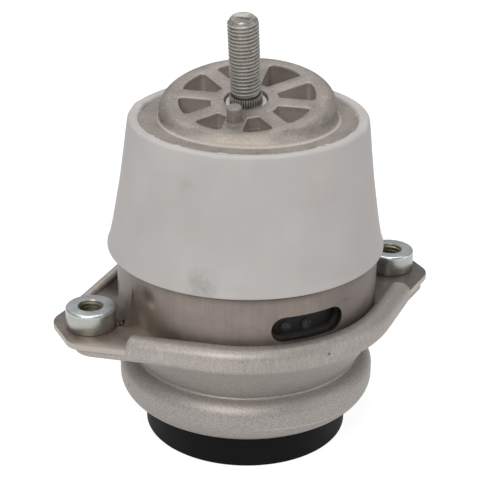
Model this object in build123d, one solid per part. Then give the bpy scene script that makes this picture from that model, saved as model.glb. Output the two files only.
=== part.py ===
from build123d import *
from math import acos, cos, degrees, pi, radians, sin, sqrt, tan
import os

# Hydraulic engine mount.
# It stands on the flat bottom of its cap, with the axis of the housing on Z.
# The two ears lie along X. The stud and the top face of the hub lean towards the locating pin.
# Lengths are in millimetres, angles in degrees, heights are above the bottom of the cap.

# Clearances between pieces
slide_gap = 0.1
soft_gap = 0.3
rivet_gap = 0.05

# Stud, its bush and the locating pin, measured along the leaning axis from the hub's top face
stud_tilt = 11.2
stud_azimuth = -128.5
stud_offset_x = -1.0
stud_offset_y = 0.5
stud_diameter = 12.0
stud_reach = 33.5
stud_depth = 40.0
stud_shank_diameter = 11.0
stud_chamfer = 1.4
stud_dish_depth = 0.35
collar_width = 0.35
collar_top = 3.0
knurl_count = 36
knurl_depth = 0.35
bush_wall = 2.5
bush_recess = 1.4
bush_length = 18.4
bush_chamfer = 0.5
pin_diameter = 5.9
pin_shank_diameter = 5.0
pin_distance = 18.2
pin_reach = 5.6
pin_depth = 8.0
pin_collar_width = 0.8
pin_collar_height = 0.4

# Upper housing
sleeve_radius = 52.3
sleeve_wall = 2.6
sleeve_rise = 24.5
shoulder_radius = 8.0
roof_slope = 35.0
roof_room = 11.0
foot_round = 3.0
upper_plate = 3.0
upper_flange_width = 5.1
upper_ear_offset = 2.7
upper_ear_radius = 16.6
gusset_depth = 4.6
gusset_height = 16.6
gusset_hollow = 0.7
gusset_half_angle = 7.2
window_azimuth = -88.0
window_length = 30.6
window_height = 10.4
window_rise = 9.9

# Threaded bosses riveted through the ears
boss_radius = 9.9
boss_height = 8.5
boss_clearance = 4.8
boss_chamfer = 0.8
boss_thread_radius = 4.25
boss_mouth = 0.9
boss_spigot_radius = 7.0
boss_foot_width = 1.6
boss_foot_height = 0.9

# Lower housing: cone, waist and bulge of one wall, and the rolled bead round the flange
cup_wall = 2.5
lower_plate = 2.5
lower_ear_offset = -0.5
lower_ear_half_width = 8.0
lower_ear_radius = 10.0
cone_clearance = 1.8
cone_taper_width = 8.8
ledge_width = 1.4
bulge_width = 8.8
bulge_round = 8.0
bulge_straight = 3.2
waist_height = 10.4
bead_width = 9.2
rear_bead_width = 6.2
bead_height = 9.9
bead_round = 4.3
bead_bite = 0.3
bead_end_gap = 6.0
bead_end_round = 1.4

# Bottom cap
cap_show = 14.6
cap_gap = 1.7
cap_wall = 2.5
cap_rise = 13.9
cap_foot_chamfer = 0.8
cap_collar_width = 2.2
cap_collar_height = 2.2
cap_rim_width = 11.5
cap_recess_depth = 0.8
cap_vent_radius = 1.5

# Main spring and the ring bonded round it
ring_wall = 2.2
ring_foot_width = 2.0
ring_foot_thickness = 2.4
ring_top_gap = 0.7
ring_window_margin = 1.2
rubber_skin = 1.5
rubber_pad = 3.0
rubber_lip_width = 2.0
rubber_valley_drop = 4.5
mark_azimuths = (-97.3, -87.2)
mark_drop = 0.9
mark_radius = 2.0
mark_line = 0.45
mark_relief = 0.4

# Bonded core under the hub
core_neck_radius = 20.0
core_disc_gap = 11.4
core_disc_rise = 5.5
core_disc_thickness = 5.0
core_cone_inset = 6.0
core_tip_radius = 14.0
core_tip_round = 1.0
core_tip_rise = 8.0
spigot_radius = 14.9
spigot_length = 8.0

# Hub casting
hub_rise = 51.7
hub_flange_thickness = 5.0
hub_flange_radius = 43.9
hub_flange_round = 1.0
hub_neck_length = 21.2
neck_step = 12.4
neck_straight = 9.2
dome_height = 8.9
dome_step = 9.9
dome_draft = 3.0
dome_shoulder = 4.4
dome_foot_round = 1.5
dome_rim_width = 7.5
pocket_count = 8
pocket_outer_shift = -0.5
pocket_land_width = 4.7
pocket_inner_shift = 1.6
rib_width = 6.3
pin_rib_width = 8.4
pocket_corner_round = 1.8
pocket_tip_round = 0.8
pocket_depth = 13.0
pocket_draft = 3.0
pocket_edge_round = 0.45

# Heat boot
boot_wall = 2.6
boot_hem_width = 3.3
boot_hem_round = 0.6
boot_flare_width = 2.15
boot_flare_rise = 2.8
boot_lower_width = 0.9
boot_lower_rise = 6.9
boot_upper_rise = 26.4
boot_upper_bow = 0.05
boot_rim_width = 3.0
boot_rim_rise = 1.5
boot_rim_round = 1.4
boot_lip_width = 1.1
boot_hook_width = 1.5
boot_hook_height = 2.4
boot_hem_rise = 1.1

# Stop ring under the hub's flange
buffer_step = 4.9
buffer_height = 15.0
buffer_groove = 2.0

# Inertia track, its rivets, disc and seal
upper_track_thickness = 6.7
lower_track_thickness = 5.0
channel_width = 8.0
channel_depth = 4.3
channel_sweep = 320.0
channel_port_radius = 3.0
channel_land_width = 4.8
disc_thickness = 4.0
grid_hole_radius = 2.4
grid_counts = (1, 6, 12)
grid_radii = (0.0, 9.5, 19.0)
rivet_count = 6
rivet_radius = 1.5
rivet_head_radius = 2.6
rivet_edge = 2.6
rivet_land = 3.5
seal_section = 1.6
seal_inset = 1.5
seal_groove_width = 2.2

# Rolling diaphragm and its rim ring
rim_ring_width = 3.5
rim_ring_height = 1.8
rim_rubber = 0.6
membrane = 1.8
roll_gap = 2.8
roll_radius = 4.0
roll_rise = 2.4
crown_inset = 3.5
crown_rise = 10.0

# Heights that follow, from the cap up to the hub
lip_bottom = cap_show
lip_top = lip_bottom + cup_wall
cap_top = lip_top + cap_rise
bulge_bottom = lip_bottom + bulge_round
bulge_top = bulge_bottom + bulge_straight
ledge_height = bulge_top + waist_height
lower_track_bottom = ledge_height + rim_ring_height + rim_rubber
track_split = lower_track_bottom + lower_track_thickness
ring_bottom = track_split + upper_track_thickness
upper_plate_bottom = ring_bottom + ring_foot_thickness + soft_gap
lower_plate_bottom = upper_plate_bottom - lower_plate
flange_top = upper_plate_bottom + upper_plate
window_middle = flange_top + window_rise
sleeve_shoulder = flange_top + sleeve_rise
ring_top = sleeve_shoulder - ring_top_gap
core_bottom = flange_top + core_tip_rise
core_tip_height = core_bottom + core_tip_round
core_disc_top = sleeve_shoulder + core_disc_rise
hub_flange_top = sleeve_shoulder + hub_rise
flange_bottom = hub_flange_top - hub_flange_thickness
hub_bottom = flange_bottom - hub_neck_length
hub_height = hub_flange_top + dome_height
boot_bottom = sleeve_shoulder + boot_hem_rise
boot_top = hub_flange_top + boot_rim_rise
roll_height = cap_show + roll_rise
crown_height = roll_height + crown_rise

# Radii that follow from the sleeve
sleeve_bore = sleeve_radius - sleeve_wall
ring_radius = sleeve_bore - slide_gap
ring_bore = ring_radius - ring_wall
ring_foot_radius = ring_radius + ring_foot_width
cone_top_radius = ring_foot_radius + cone_clearance
cone_bottom_radius = cone_top_radius - cone_taper_width
cone_slope = cone_taper_width / (upper_plate_bottom - ledge_height)
waist_radius = cone_bottom_radius - ledge_width
bulge_reach = waist_radius + bulge_width
cap_radius = waist_radius - cap_gap
cap_recess_radius = cap_radius - cap_rim_width
core_disc_radius = ring_bore - core_disc_gap
roof_opening = core_neck_radius + roof_room
upper_disc_radius = sleeve_radius + upper_flange_width
bead_path_radius = sleeve_radius - bead_bite + bead_width / 2
boss_x = sleeve_radius + boss_clearance + boss_radius
upper_ear_centre = boss_x - upper_ear_offset
lower_ear_centre = boss_x + lower_ear_offset
bead_end = boss_x - bead_end_gap
boss_mouth_radius = boss_thread_radius + boss_mouth
boss_foot_radius = boss_spigot_radius + boss_foot_width

# Radii that follow from the cone of the lower housing
rim_ring_outer = cone_bottom_radius - soft_gap
rim_ring_inner = rim_ring_outer - rim_ring_width
roll_outer_radius = rim_ring_inner - roll_gap
crown_radius = roll_outer_radius - 2 * roll_radius - crown_inset
rivet_circle = cone_bottom_radius - rivet_edge
channel_outer_radius = rivet_circle - rivet_land
channel_inner_radius = channel_outer_radius - channel_width
disc_radius = channel_inner_radius - channel_land_width
seal_circle = ring_bore + seal_inset

# Radii that follow from the hub's flange and the stud
neck_radius = hub_flange_radius - neck_step
buffer_radius = hub_flange_radius - buffer_step
dome_radius = hub_flange_radius - dome_step
pocket_outer_radius = dome_radius - dome_rim_width
collar_diameter = stud_diameter + 2 * collar_width
bush_diameter = stud_diameter + 2 * bush_wall
pocket_inner_radius = bush_diameter / 2 + pocket_land_width
boot_top_radius = hub_flange_radius + boot_rim_width
boot_lip_radius = hub_flange_radius - boot_lip_width
boot_hook_radius = hub_flange_radius - boot_hook_width
boot_bottom_radius = sleeve_radius + boot_hem_width
boot_flare_radius = sleeve_radius + boot_flare_width
boot_lower_radius = sleeve_radius + boot_lower_width
boot_upper_radius = (boot_lower_radius + boot_top_radius) / 2 + boot_upper_bow

# Frame of the leaning stud: its x axis runs downhill towards the locating pin
lean = radians(stud_tilt)
azimuth = radians(stud_azimuth)
hub_face = Plane(
    origin=(stud_offset_x, stud_offset_y, hub_height),
    x_dir=(cos(lean) * cos(azimuth), cos(lean) * sin(azimuth), -sin(lean)),
    z_dir=(sin(lean) * cos(azimuth), sin(lean) * sin(azimuth), cos(lean)),
)


def cone_radius(height):
    """Inner radius of the lower housing's cone at a height."""
    return cone_bottom_radius + (height - ledge_height) * cone_slope


def turned(*edges):
    """Solid of revolution about Z from a closed outline in the XZ plane."""
    return revolve(make_face(edges), Axis.Z)


def polyline_xz(*points):
    """Straight outline in the XZ plane through (radius, height) points."""
    return Polyline(*[(r, 0, z) for r, z in points])


def turned_polygon(*points):
    """Solid of revolution from a polygon of (radius, height) points."""
    return turned(polyline_xz(*points, points[0]))


def rod(plane, radius, bottom, top):
    """Cylinder on a plane's axis between two distances from the plane."""
    return plane * Pos(0, 0, bottom) * extrude(Circle(radius), top - bottom)


def upright(radius, bottom, top, x=0.0, y=0.0):
    """Upright cylinder between two heights."""
    return Pos(x, y, bottom) * extrude(Circle(radius), top - bottom)


def both_sides(shape):
    """The shape and its half-turn copy about Z."""
    return [shape, Rot(0, 0, 180) * shape]


def edges_at(shape, height, tolerance=0.01):
    """Edges that lie flat at a height."""
    flat = []
    for edge in shape.edges():
        box = edge.bounding_box()
        if abs(box.min.Z - height) < tolerance and abs(box.max.Z - height) < tolerance:
            flat.append(edge)
    return flat


def circles_at(shape, height, radius, tolerance=0.01):
    """Level circular edges of one radius at a height."""
    level = edges_at(shape, height, tolerance)
    round_edges = [e for e in level if e.geom_type == GeomType.CIRCLE]
    return [e for e in round_edges if abs(e.radius - radius) < tolerance]


# Plan outlines of the two flange plates
def upper_outline():
    """Hull of the upper disc and one round end at each ear."""
    ends = [Pos(x, 0) * Circle(upper_ear_radius) for x in (-upper_ear_centre, upper_ear_centre)]
    return make_hull((Circle(upper_disc_radius) + ends).edges())


def lower_outline():
    """Hull of the disc under the bead's middle and two round corners at each ear."""
    corners = []
    for x in (-lower_ear_centre, lower_ear_centre):
        for y in (-lower_ear_half_width, lower_ear_half_width):
            corners.append(Pos(x, y) * Circle(lower_ear_radius))
    return make_hull((Circle(bead_path_radius) + corners).edges())


def stadium_cutter(azimuth_deg, length, height, start, end):
    """Bar of stadium section that points outwards at an azimuth, from one radius to another."""
    side = Plane(
        origin=(0, 0, window_middle),
        x_dir=(-sin(radians(azimuth_deg)), cos(radians(azimuth_deg)), 0),
        z_dir=(cos(radians(azimuth_deg)), sin(radians(azimuth_deg)), 0),
    )
    return side * Pos(0, 0, start) * extrude(SlotOverall(length, height), end - start)


# Stud with a chamfered end, a knurled collar and a plain lower shank
def make_stud():
    radius = stud_diameter / 2
    shank = stud_shank_diameter / 2
    tip_flat = radius - stud_chamfer
    body = turned_polygon(
        (0, -stud_depth),
        (shank - 1.0, -stud_depth),
        (shank, 1.0 - stud_depth),
        (shank, -bush_recess),
        (radius, -bush_recess),
        (radius, stud_reach - stud_chamfer * 1.3),
        (tip_flat, stud_reach),
        (tip_flat - stud_dish_depth * 4, stud_reach - stud_dish_depth),
        (0, stud_reach - stud_dish_depth),
    )
    return hub_face * (body + make_knurled_collar())


def make_knurled_collar():
    """Collar with straight knurling, chamfered at its top."""
    outer = collar_diameter / 2
    points = []
    for k in range(knurl_count * 2):
        radius = outer if k % 2 == 0 else outer - knurl_depth
        angle = radians(k * 180 / knurl_count)
        points.append((radius * cos(angle), radius * sin(angle)))
    star = extrude(make_face(Polyline(*points, close=True)), collar_top + bush_recess)
    return chamfer_top(Pos(0, 0, -bush_recess) * star, outer, collar_top, 0.5)


def chamfer_top(shape, radius, top, size):
    """Keep what lies inside a cylinder whose top edge is chamfered."""
    envelope = turned_polygon(
        (0, -radius * 4),
        (radius, -radius * 4),
        (radius, top - size),
        (radius - size, top),
        (0, top),
    )
    return shape & envelope


def make_bush():
    tube = extrude(Circle(bush_diameter / 2), -bush_length)
    tube = Pos(0, 0, -bush_recess) * tube
    tube = chamfer(tube.edges().group_by(Axis.Z)[-1], bush_chamfer)
    bore = Pos(0, 0, -bush_recess) * extrude(Circle(stud_shank_diameter / 2 + rivet_gap), -bush_length)
    return hub_face * (tube - bore)


def make_pin():
    radius = pin_diameter / 2
    shank = pin_shank_diameter / 2
    pin = turned_polygon(
        (0, -pin_depth),
        (shank, -pin_depth),
        (shank, 0),
        (radius + pin_collar_width, 0),
        (radius + pin_collar_width, pin_collar_height),
        (radius, pin_collar_height),
        (radius, pin_reach - radius / 8),
        (radius * 7 / 8, pin_reach),
        (0, pin_reach),
    )
    return hub_face * Pos(pin_distance, 0) * pin


# Hub casting
def pocket_sketch():
    """Eight rounded sectors between the land round the stud and the outer wall."""
    ring = Pos(pocket_outer_shift, 0) * Circle(pocket_outer_radius)
    ring -= Pos(pocket_inner_shift, 0) * Circle(pocket_inner_radius)
    reach = pocket_outer_radius * 2
    for k in range(pocket_count):
        width = pin_rib_width if k == 0 else rib_width
        ring -= Rot(0, 0, k * 360 / pocket_count) * Pos(reach / 2, 0) * Rectangle(reach, width)
    middle = (pocket_inner_radius + pocket_outer_radius) / 2
    ring = fillet([v for v in ring.vertices() if v.center().length > middle], pocket_corner_round)
    tips = [v for v in ring.vertices() if v.center().length < pocket_inner_radius + pocket_inner_shift + 0.5]
    return fillet(tips, pocket_tip_round)


def make_dome():
    """Round shoulder turned about the leaning axis and cut off level inside the flange."""
    depth = dome_height + dome_radius * 0.5
    spread = (depth - dome_shoulder) * tan(radians(dome_draft))
    flat = dome_radius - dome_shoulder
    half = dome_shoulder * sqrt(0.5)
    outline = [
        ThreePointArc(
            (flat, 0, 0),
            (flat + half, 0, half - dome_shoulder),
            (dome_radius, 0, -dome_shoulder),
        ),
        polyline_xz(
            (dome_radius, -dome_shoulder),
            (dome_radius + spread, -depth),
            (0, -depth),
            (0, 0),
            (flat, 0),
        ),
    ]
    seam_uphill = Rot(0, 0, 180)
    dome = hub_face * seam_uphill * turned(*outline)
    return dome - upright(hub_flange_radius * 2, hub_flange_top - depth * 2, hub_flange_top - 0.5)


def make_hub():
    flange = upright(hub_flange_radius, flange_bottom, hub_flange_top)
    body = flange + make_dome()
    body = fillet(circles_at(body, hub_flange_top, hub_flange_radius), hub_flange_round)
    rim = hub_flange_radius - hub_flange_round
    foot = [e for e in edges_at(body, hub_flange_top) if e.length < 2 * pi * rim - 1]
    body = fillet(foot, dome_foot_round)
    neck_straight_end = flange_bottom - neck_straight
    body += turned_polygon(
        (0, flange_bottom + 0.5),
        (neck_radius, flange_bottom + 0.5),
        (neck_radius, neck_straight_end),
        (core_neck_radius, hub_bottom),
        (0, hub_bottom),
    )
    pockets = hub_face * extrude(pocket_sketch(), -pocket_depth, taper=pocket_draft)
    body -= pockets
    body = fillet(pocket_rims(body), pocket_edge_round)
    body -= rod(hub_face, bush_diameter / 2 + rivet_gap, -bush_recess - bush_length, 1)
    body -= rod(hub_face, stud_shank_diameter / 2 + slide_gap, -stud_depth - 5, 1)
    body -= rod(hub_face * Pos(pin_distance, 0), pin_shank_diameter / 2 + rivet_gap, -pin_depth, 1)
    body -= upright(spigot_radius + slide_gap, hub_bottom - 1, hub_bottom + spigot_length + soft_gap)
    return body


def pocket_rims(body):
    """Edges of the pockets in the hub's leaning top face."""
    rims = []
    for edge in body.edges():
        spots = [hub_face.to_local_coords(edge @ k) for k in (0, 0.5, 1)]
        if all(abs(p.Z) < 0.01 and sqrt(p.X ** 2 + p.Y ** 2) < pocket_outer_radius + 1.5 for p in spots):
            rims.append(edge)
    return rims


# Bonded core: a spigot in the hub, a neck, a disc that stops rebound and a cone in the rubber
def make_core():
    disc_bottom = core_disc_top - core_disc_thickness
    body = turned_polygon(
        (0, core_bottom),
        (core_tip_radius - core_tip_round, core_bottom),
        (core_tip_radius, core_tip_height),
        (core_disc_radius - core_cone_inset, disc_bottom),
        (core_disc_radius, disc_bottom),
        (core_disc_radius, core_disc_top),
        (core_neck_radius, core_disc_top),
        (core_neck_radius, hub_bottom),
        (spigot_radius, hub_bottom),
        (spigot_radius, hub_bottom + spigot_length),
        (0, hub_bottom + spigot_length),
    )
    return body - rod(hub_face, stud_shank_diameter / 2 + slide_gap, -stud_depth - slide_gap, 1)


# Upper housing: one pressed sheet with a sleeve, a sloping roof, a flange and two ears
def make_upper_housing():
    slope = radians(roof_slope)
    turn = radians(90 - roof_slope)
    centre = (sleeve_radius - shoulder_radius, sleeve_shoulder)
    inner_round = shoulder_radius - sleeve_wall

    def on_arc(radius, angle):
        return (centre[0] + radius * cos(angle), 0, centre[1] + radius * sin(angle))

    outer_end = on_arc(shoulder_radius, turn)
    inner_end = on_arc(inner_round, turn)
    rise = tan(slope)
    outer_roof = (roof_opening, 0, outer_end[2] + (outer_end[0] - roof_opening) * rise)
    inner_roof = (roof_opening, 0, inner_end[2] + (inner_end[0] - roof_opening) * rise)
    body = turned(
        Line((sleeve_bore, 0, upper_plate_bottom), (sleeve_radius, 0, upper_plate_bottom)),
        Line((sleeve_radius, 0, upper_plate_bottom), (sleeve_radius, 0, sleeve_shoulder)),
        ThreePointArc((sleeve_radius, 0, sleeve_shoulder), on_arc(shoulder_radius, turn / 2), outer_end),
        Line(outer_end, outer_roof),
        Line(outer_roof, inner_roof),
        Line(inner_roof, inner_end),
        ThreePointArc(inner_end, on_arc(inner_round, turn / 2), (sleeve_bore, 0, sleeve_shoulder)),
        Line((sleeve_bore, 0, sleeve_shoulder), (sleeve_bore, 0, upper_plate_bottom)),
    )
    plate = Pos(0, 0, upper_plate_bottom) * extrude(upper_outline(), upper_plate)
    body += plate - upright(sleeve_bore, upper_plate_bottom - 1, flange_top + 1)
    body += both_sides(make_gusset())
    body = fillet(circles_at(body, upper_plate_bottom, sleeve_bore), foot_round)
    for x in (-boss_x, boss_x):
        body -= upright(boss_spigot_radius + rivet_gap, upper_plate_bottom - 1, flange_top + 1, x)
        body -= upright(boss_radius + slide_gap, flange_top, flange_top + gusset_height, x)
    for turn_by in (0, 180):
        body -= stadium_cutter(window_azimuth + turn_by, window_length, window_height,
                               ring_bore, sleeve_radius + 3)
    return body


def make_gusset():
    """Steep web between the sleeve and one ear, hollow on its face."""
    sink = sleeve_wall / 3
    foot = sleeve_radius + gusset_depth
    top = flange_top + gusset_height
    middle_r = sleeve_radius + gusset_depth / 2 - gusset_hollow
    middle_z = flange_top + gusset_height / 2 - gusset_hollow
    section = make_face([
        Polyline(
            (sleeve_radius, 0, top),
            (sleeve_radius - sink, 0, top),
            (sleeve_radius - sink, 0, flange_top - sink),
            (foot, 0, flange_top - sink),
            (foot, 0, flange_top),
        ),
        ThreePointArc((foot, 0, flange_top), (middle_r, 0, middle_z), (sleeve_radius, 0, top)),
    ])
    return Rot(0, 0, -gusset_half_angle) * revolve(section, Axis.Z, gusset_half_angle * 2)


# Threaded boss: a bush whose spigot passes through both plates and is spread below them
def make_boss(x):
    head = upright(boss_radius, flange_top, flange_top + boss_height, x)
    head = chamfer(edges_at(head, flange_top + boss_height), boss_chamfer)
    foot_bottom = lower_plate_bottom - boss_foot_height
    foot = upright(boss_foot_radius, foot_bottom, lower_plate_bottom, x)
    foot = chamfer(edges_at(foot, foot_bottom), boss_foot_height * 0.6)
    body = head + foot + upright(boss_spigot_radius, foot_bottom, flange_top + 1, x)
    top = flange_top + boss_height
    body -= upright(boss_thread_radius, foot_bottom - 1, top + 1, x)
    body -= Pos(x, 0, top - boss_mouth / 2) * Cone(boss_thread_radius, boss_mouth_radius, boss_mouth)
    return body


# Lower housing: cup of one wall, plate with ears, and the edge rolled over the upper plate
def make_cup():
    cone_run = sqrt(1 + cone_slope ** 2)
    out_r = cup_wall / cone_run
    out_z = cup_wall * cone_slope / cone_run
    crease = (cone_bottom_radius + out_r, 0, ledge_height - out_z)
    cone_outer = (cone_radius(lower_plate_bottom) + out_r + cone_slope * out_z, 0, lower_plate_bottom)
    centre_r = bulge_reach - bulge_round
    valley_r = waist_radius + cup_wall
    inner_round = bulge_round - cup_wall
    valley_z = bulge_top + sqrt(bulge_round ** 2 - (valley_r - centre_r) ** 2)
    inner_r = max(waist_radius, centre_r + 0.1)
    inner_z = bulge_top + sqrt(inner_round ** 2 - (inner_r - centre_r) ** 2)
    half = sqrt(0.5)
    return turned(
        Line((cone_top_radius, 0, upper_plate_bottom), (cone_outer[0] + 3, 0, upper_plate_bottom)),
        Line((cone_outer[0] + 3, 0, upper_plate_bottom), (cone_outer[0] + 3, 0, lower_plate_bottom)),
        Line((cone_outer[0] + 3, 0, lower_plate_bottom), cone_outer),
        Line(cone_outer, crease),
        Line(crease, (valley_r, 0, valley_z)),
        ThreePointArc(
            (valley_r, 0, valley_z),
            (centre_r + bulge_round * half, 0, bulge_top + bulge_round * half),
            (bulge_reach, 0, bulge_top),
        ),
        Line((bulge_reach, 0, bulge_top), (bulge_reach, 0, bulge_bottom)),
        ThreePointArc(
            (bulge_reach, 0, bulge_bottom),
            (centre_r + bulge_round * half, 0, bulge_bottom - bulge_round * half),
            (centre_r, 0, lip_bottom),
        ),
        polyline_xz(
            (centre_r, lip_bottom),
            (cap_radius + soft_gap, lip_bottom),
            (cap_radius + soft_gap, lip_top),
            (centre_r, lip_top),
        ),
        ThreePointArc(
            (centre_r, 0, lip_top),
            (centre_r + inner_round * half, 0, bulge_bottom - inner_round * half),
            (centre_r + inner_round, 0, bulge_bottom),
        ),
        Line((centre_r + inner_round, 0, bulge_bottom), (centre_r + inner_round, 0, bulge_top)),
        ThreePointArc(
            (centre_r + inner_round, 0, bulge_top),
            (centre_r + inner_round * half, 0, bulge_top + inner_round * half),
            (inner_r, 0, inner_z),
        ),
        Line((inner_r, 0, inner_z), (waist_radius, 0, inner_z + 0.4)),
        polyline_xz(
            (waist_radius, inner_z + 0.4),
            (waist_radius, ledge_height),
            (cone_bottom_radius, ledge_height),
            (cone_top_radius, upper_plate_bottom),
        ),
    )


def make_bead(width):
    """Rolled edge along the front of the plate, from one ear to the other."""
    path_line = bead_path(width)
    start = path_line @ 0
    tangent = path_line % 0
    section_plane = Plane(origin=start, x_dir=(tangent.Y, -tangent.X, 0), z_dir=tangent)
    corner = bead_round * width / bead_width
    section = section_plane * RectangleRounded(width, bead_height, corner)
    bead = sweep(section, path=path_line)
    ends = [bead.faces().sort_by(Axis.X)[0], bead.faces().sort_by(Axis.X)[-1]]
    return fillet(ends[0].edges() + ends[1].edges(), bead_end_round)


def bead_path(width):
    """Two straight runs tangent to the arc in front of the sleeve."""
    path_radius = bead_path_radius + (bead_width - width) / 2
    corner_inset = lower_ear_radius - width / 2
    reach = sqrt(lower_ear_centre ** 2 + lower_ear_half_width ** 2)
    corner_angle = degrees(acos(lower_ear_centre / reach))
    normal = radians(corner_angle + degrees(acos((path_radius - corner_inset) / reach)))
    height = lower_plate_bottom + bead_height / 2
    touch = (path_radius * cos(normal), -path_radius * sin(normal), height)
    run = (bead_end - touch[0]) / sin(normal)
    end = (bead_end, touch[1] + run * cos(normal), height)
    arc = ThreePointArc((-touch[0], touch[1], height), (0, -path_radius, height), touch)
    return Wire([Line((-end[0], end[1], height), (-touch[0], touch[1], height)), arc, Line(touch, end)])


def make_lower_housing():
    plate = Pos(0, 0, lower_plate_bottom) * extrude(lower_outline(), lower_plate)
    body = make_cup() + (plate - upright(cone_top_radius, lower_plate_bottom - 1, upper_plate_bottom + 1))
    body -= turned_polygon(
        (0, lower_plate_bottom - 1),
        (cone_radius(lower_plate_bottom - 1), lower_plate_bottom - 1),
        (cone_top_radius, upper_plate_bottom),
        (0, upper_plate_bottom),
    )
    beads = [make_bead(bead_width), Rot(0, 0, 180) * make_bead(rear_bead_width)]
    pocket = Pos(0, 0, upper_plate_bottom) * extrude(offset(upper_outline(), soft_gap / 2), upper_plate)
    room = upright(sleeve_radius + soft_gap / 2, upper_plate_bottom, upper_plate_bottom + bead_height)
    hollow = upright(cone_top_radius, 0, upper_plate_bottom)
    body += [bead - pocket - room - hollow for bead in beads]
    for x in (-boss_x, boss_x):
        body -= upright(boss_spigot_radius + rivet_gap, lower_plate_bottom - 1, upper_plate_bottom + 1, x)
    return body


# Bottom cap: a moulded cup whose collar rests on the turned-in lip
def make_cap():
    inner = cap_radius - cap_wall
    collar_top_z = lip_top + cap_collar_height
    collar_r = cap_radius + cap_collar_width
    body = turned_polygon(
        (0, cap_recess_depth),
        (cap_recess_radius, cap_recess_depth),
        (cap_recess_radius + cap_recess_depth, 0),
        (cap_radius - cap_foot_chamfer, 0),
        (cap_radius, cap_foot_chamfer),
        (cap_radius, lip_top),
        (collar_r, lip_top),
        (collar_r, collar_top_z),
        (cap_radius, collar_top_z + cap_collar_width / 2),
        (cap_radius, cap_top),
        (inner, cap_top),
        (inner, cap_wall + 1.5),
        (inner - 1.5, cap_wall),
        (0, cap_wall),
    )
    return body - upright(cap_vent_radius, -1, cap_wall + 1)


# Heat boot: tapered sleeve whose rim hooks over the hub's flange and whose hem hugs the housing
def make_boot():
    boot_lower_height = boot_bottom + boot_lower_rise
    boot_upper_height = boot_bottom + boot_upper_rise
    groove_r = hub_flange_radius + soft_gap
    lip_z = hub_flange_top + soft_gap
    groove_bottom = flange_bottom - soft_gap
    hook_bottom = groove_bottom - boot_hook_height
    rim_z = boot_top - boot_rim_round
    half = boot_rim_round * (1 - sqrt(0.5))
    outer = Spline(
        (boot_bottom_radius, 0, boot_bottom + boot_hem_round),
        (boot_flare_radius, 0, boot_bottom + boot_flare_rise),
        (boot_lower_radius, 0, boot_lower_height),
        (boot_upper_radius, 0, boot_upper_height),
        (boot_top_radius, 0, rim_z),
    )
    inner_top_r = boot_upper_radius - boot_wall - (hook_bottom - 2 - boot_upper_height) * 0.125
    inner = Spline(
        (inner_top_r, 0, hook_bottom - 2),
        (boot_upper_radius - boot_wall, 0, boot_upper_height),
        (boot_lower_radius - boot_wall, 0, boot_lower_height),
        (sleeve_radius + soft_gap, 0, boot_bottom),
    )
    return turned(
        outer,
        ThreePointArc(
            (boot_top_radius, 0, rim_z),
            (boot_top_radius - half, 0, boot_top - half),
            (boot_top_radius - boot_rim_round, 0, boot_top),
        ),
        polyline_xz(
            (boot_top_radius - boot_rim_round, boot_top),
            (boot_lip_radius + 0.6, boot_top),
            (boot_lip_radius, boot_top - 0.5),
            (boot_lip_radius, lip_z),
            (groove_r, lip_z),
            (groove_r, groove_bottom),
            (boot_hook_radius, groove_bottom),
            (boot_hook_radius, hook_bottom),
            (inner_top_r, hook_bottom - 2),
        ),
        inner,
        polyline_xz(
            (sleeve_radius + soft_gap, boot_bottom),
            (boot_bottom_radius - boot_hem_round, boot_bottom),
            (boot_bottom_radius, boot_bottom + boot_hem_round),
        ),
    )


# Ring bonded round the rubber, with a window behind each window of the sleeve
def make_ring():
    body = turned_polygon(
        (ring_bore, ring_bottom),
        (ring_foot_radius, ring_bottom),
        (ring_foot_radius, ring_bottom + ring_foot_thickness),
        (ring_radius, ring_bottom + ring_foot_thickness),
        (ring_radius, ring_top),
        (ring_bore, ring_top),
    )
    for turn_by in (0, 180):
        body -= stadium_cutter(window_azimuth + turn_by, window_length - 2 * ring_window_margin,
                               window_height - 2 * ring_window_margin, ring_bore - 4, ring_radius + 1)
    return body


# Main spring: rubber cone between the core and the ring, with a pad that softens rebound
def make_spring(core):
    disc_bottom = core_disc_top - core_disc_thickness
    pad_radius = core_disc_radius + rubber_pad
    body = turned_polygon(
        (0, core_bottom - rubber_skin),
        (core_tip_radius, core_bottom - rubber_skin),
        (ring_bore - 10, ring_bottom + 7),
        (ring_bore - rubber_lip_width, ring_bottom + 4),
        (ring_bore - rubber_lip_width, ring_bottom + slide_gap),
        (ring_bore, ring_bottom + slide_gap),
        (ring_bore, ring_top - 1),
        (ring_bore - 3, disc_bottom - rubber_valley_drop - 1),
        (pad_radius + 2, disc_bottom - rubber_valley_drop),
        (pad_radius, disc_bottom),
        (pad_radius, core_disc_top + rubber_pad / 2),
        (pad_radius - rubber_pad / 2, core_disc_top + rubber_pad),
        (core_neck_radius + 2, core_disc_top + rubber_pad),
        (core_neck_radius + 2, core_disc_top),
        (0, core_disc_top),
    )
    marks = []
    for mark_azimuth in mark_azimuths:
        spot = Rot(0, 0, mark_azimuth) * Pos(ring_bore, 0, (window_middle - mark_drop)) * Rot(0, 90, 0)
        marks.append(spot * Pos(0, 0, -1) * extrude(
            Circle(mark_radius) - Circle(mark_radius - mark_line), 1 + mark_relief))
    return body + marks - core


# Stop ring that sits round the hub's neck under its flange
def make_buffer():
    bore = neck_radius + soft_gap
    bottom = flange_bottom - buffer_height
    middle = (bore + buffer_radius) / 2
    return turned_polygon(
        (bore, flange_bottom),
        (bore, flange_bottom - neck_straight),
        (bore, bottom + 1),
        (bore + 1, bottom),
        (middle - buffer_groove, bottom),
        (middle, bottom + buffer_groove),
        (middle + buffer_groove, bottom),
        (buffer_radius - 1, bottom),
        (buffer_radius, bottom + 1),
        (buffer_radius, flange_bottom),
    )


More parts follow.
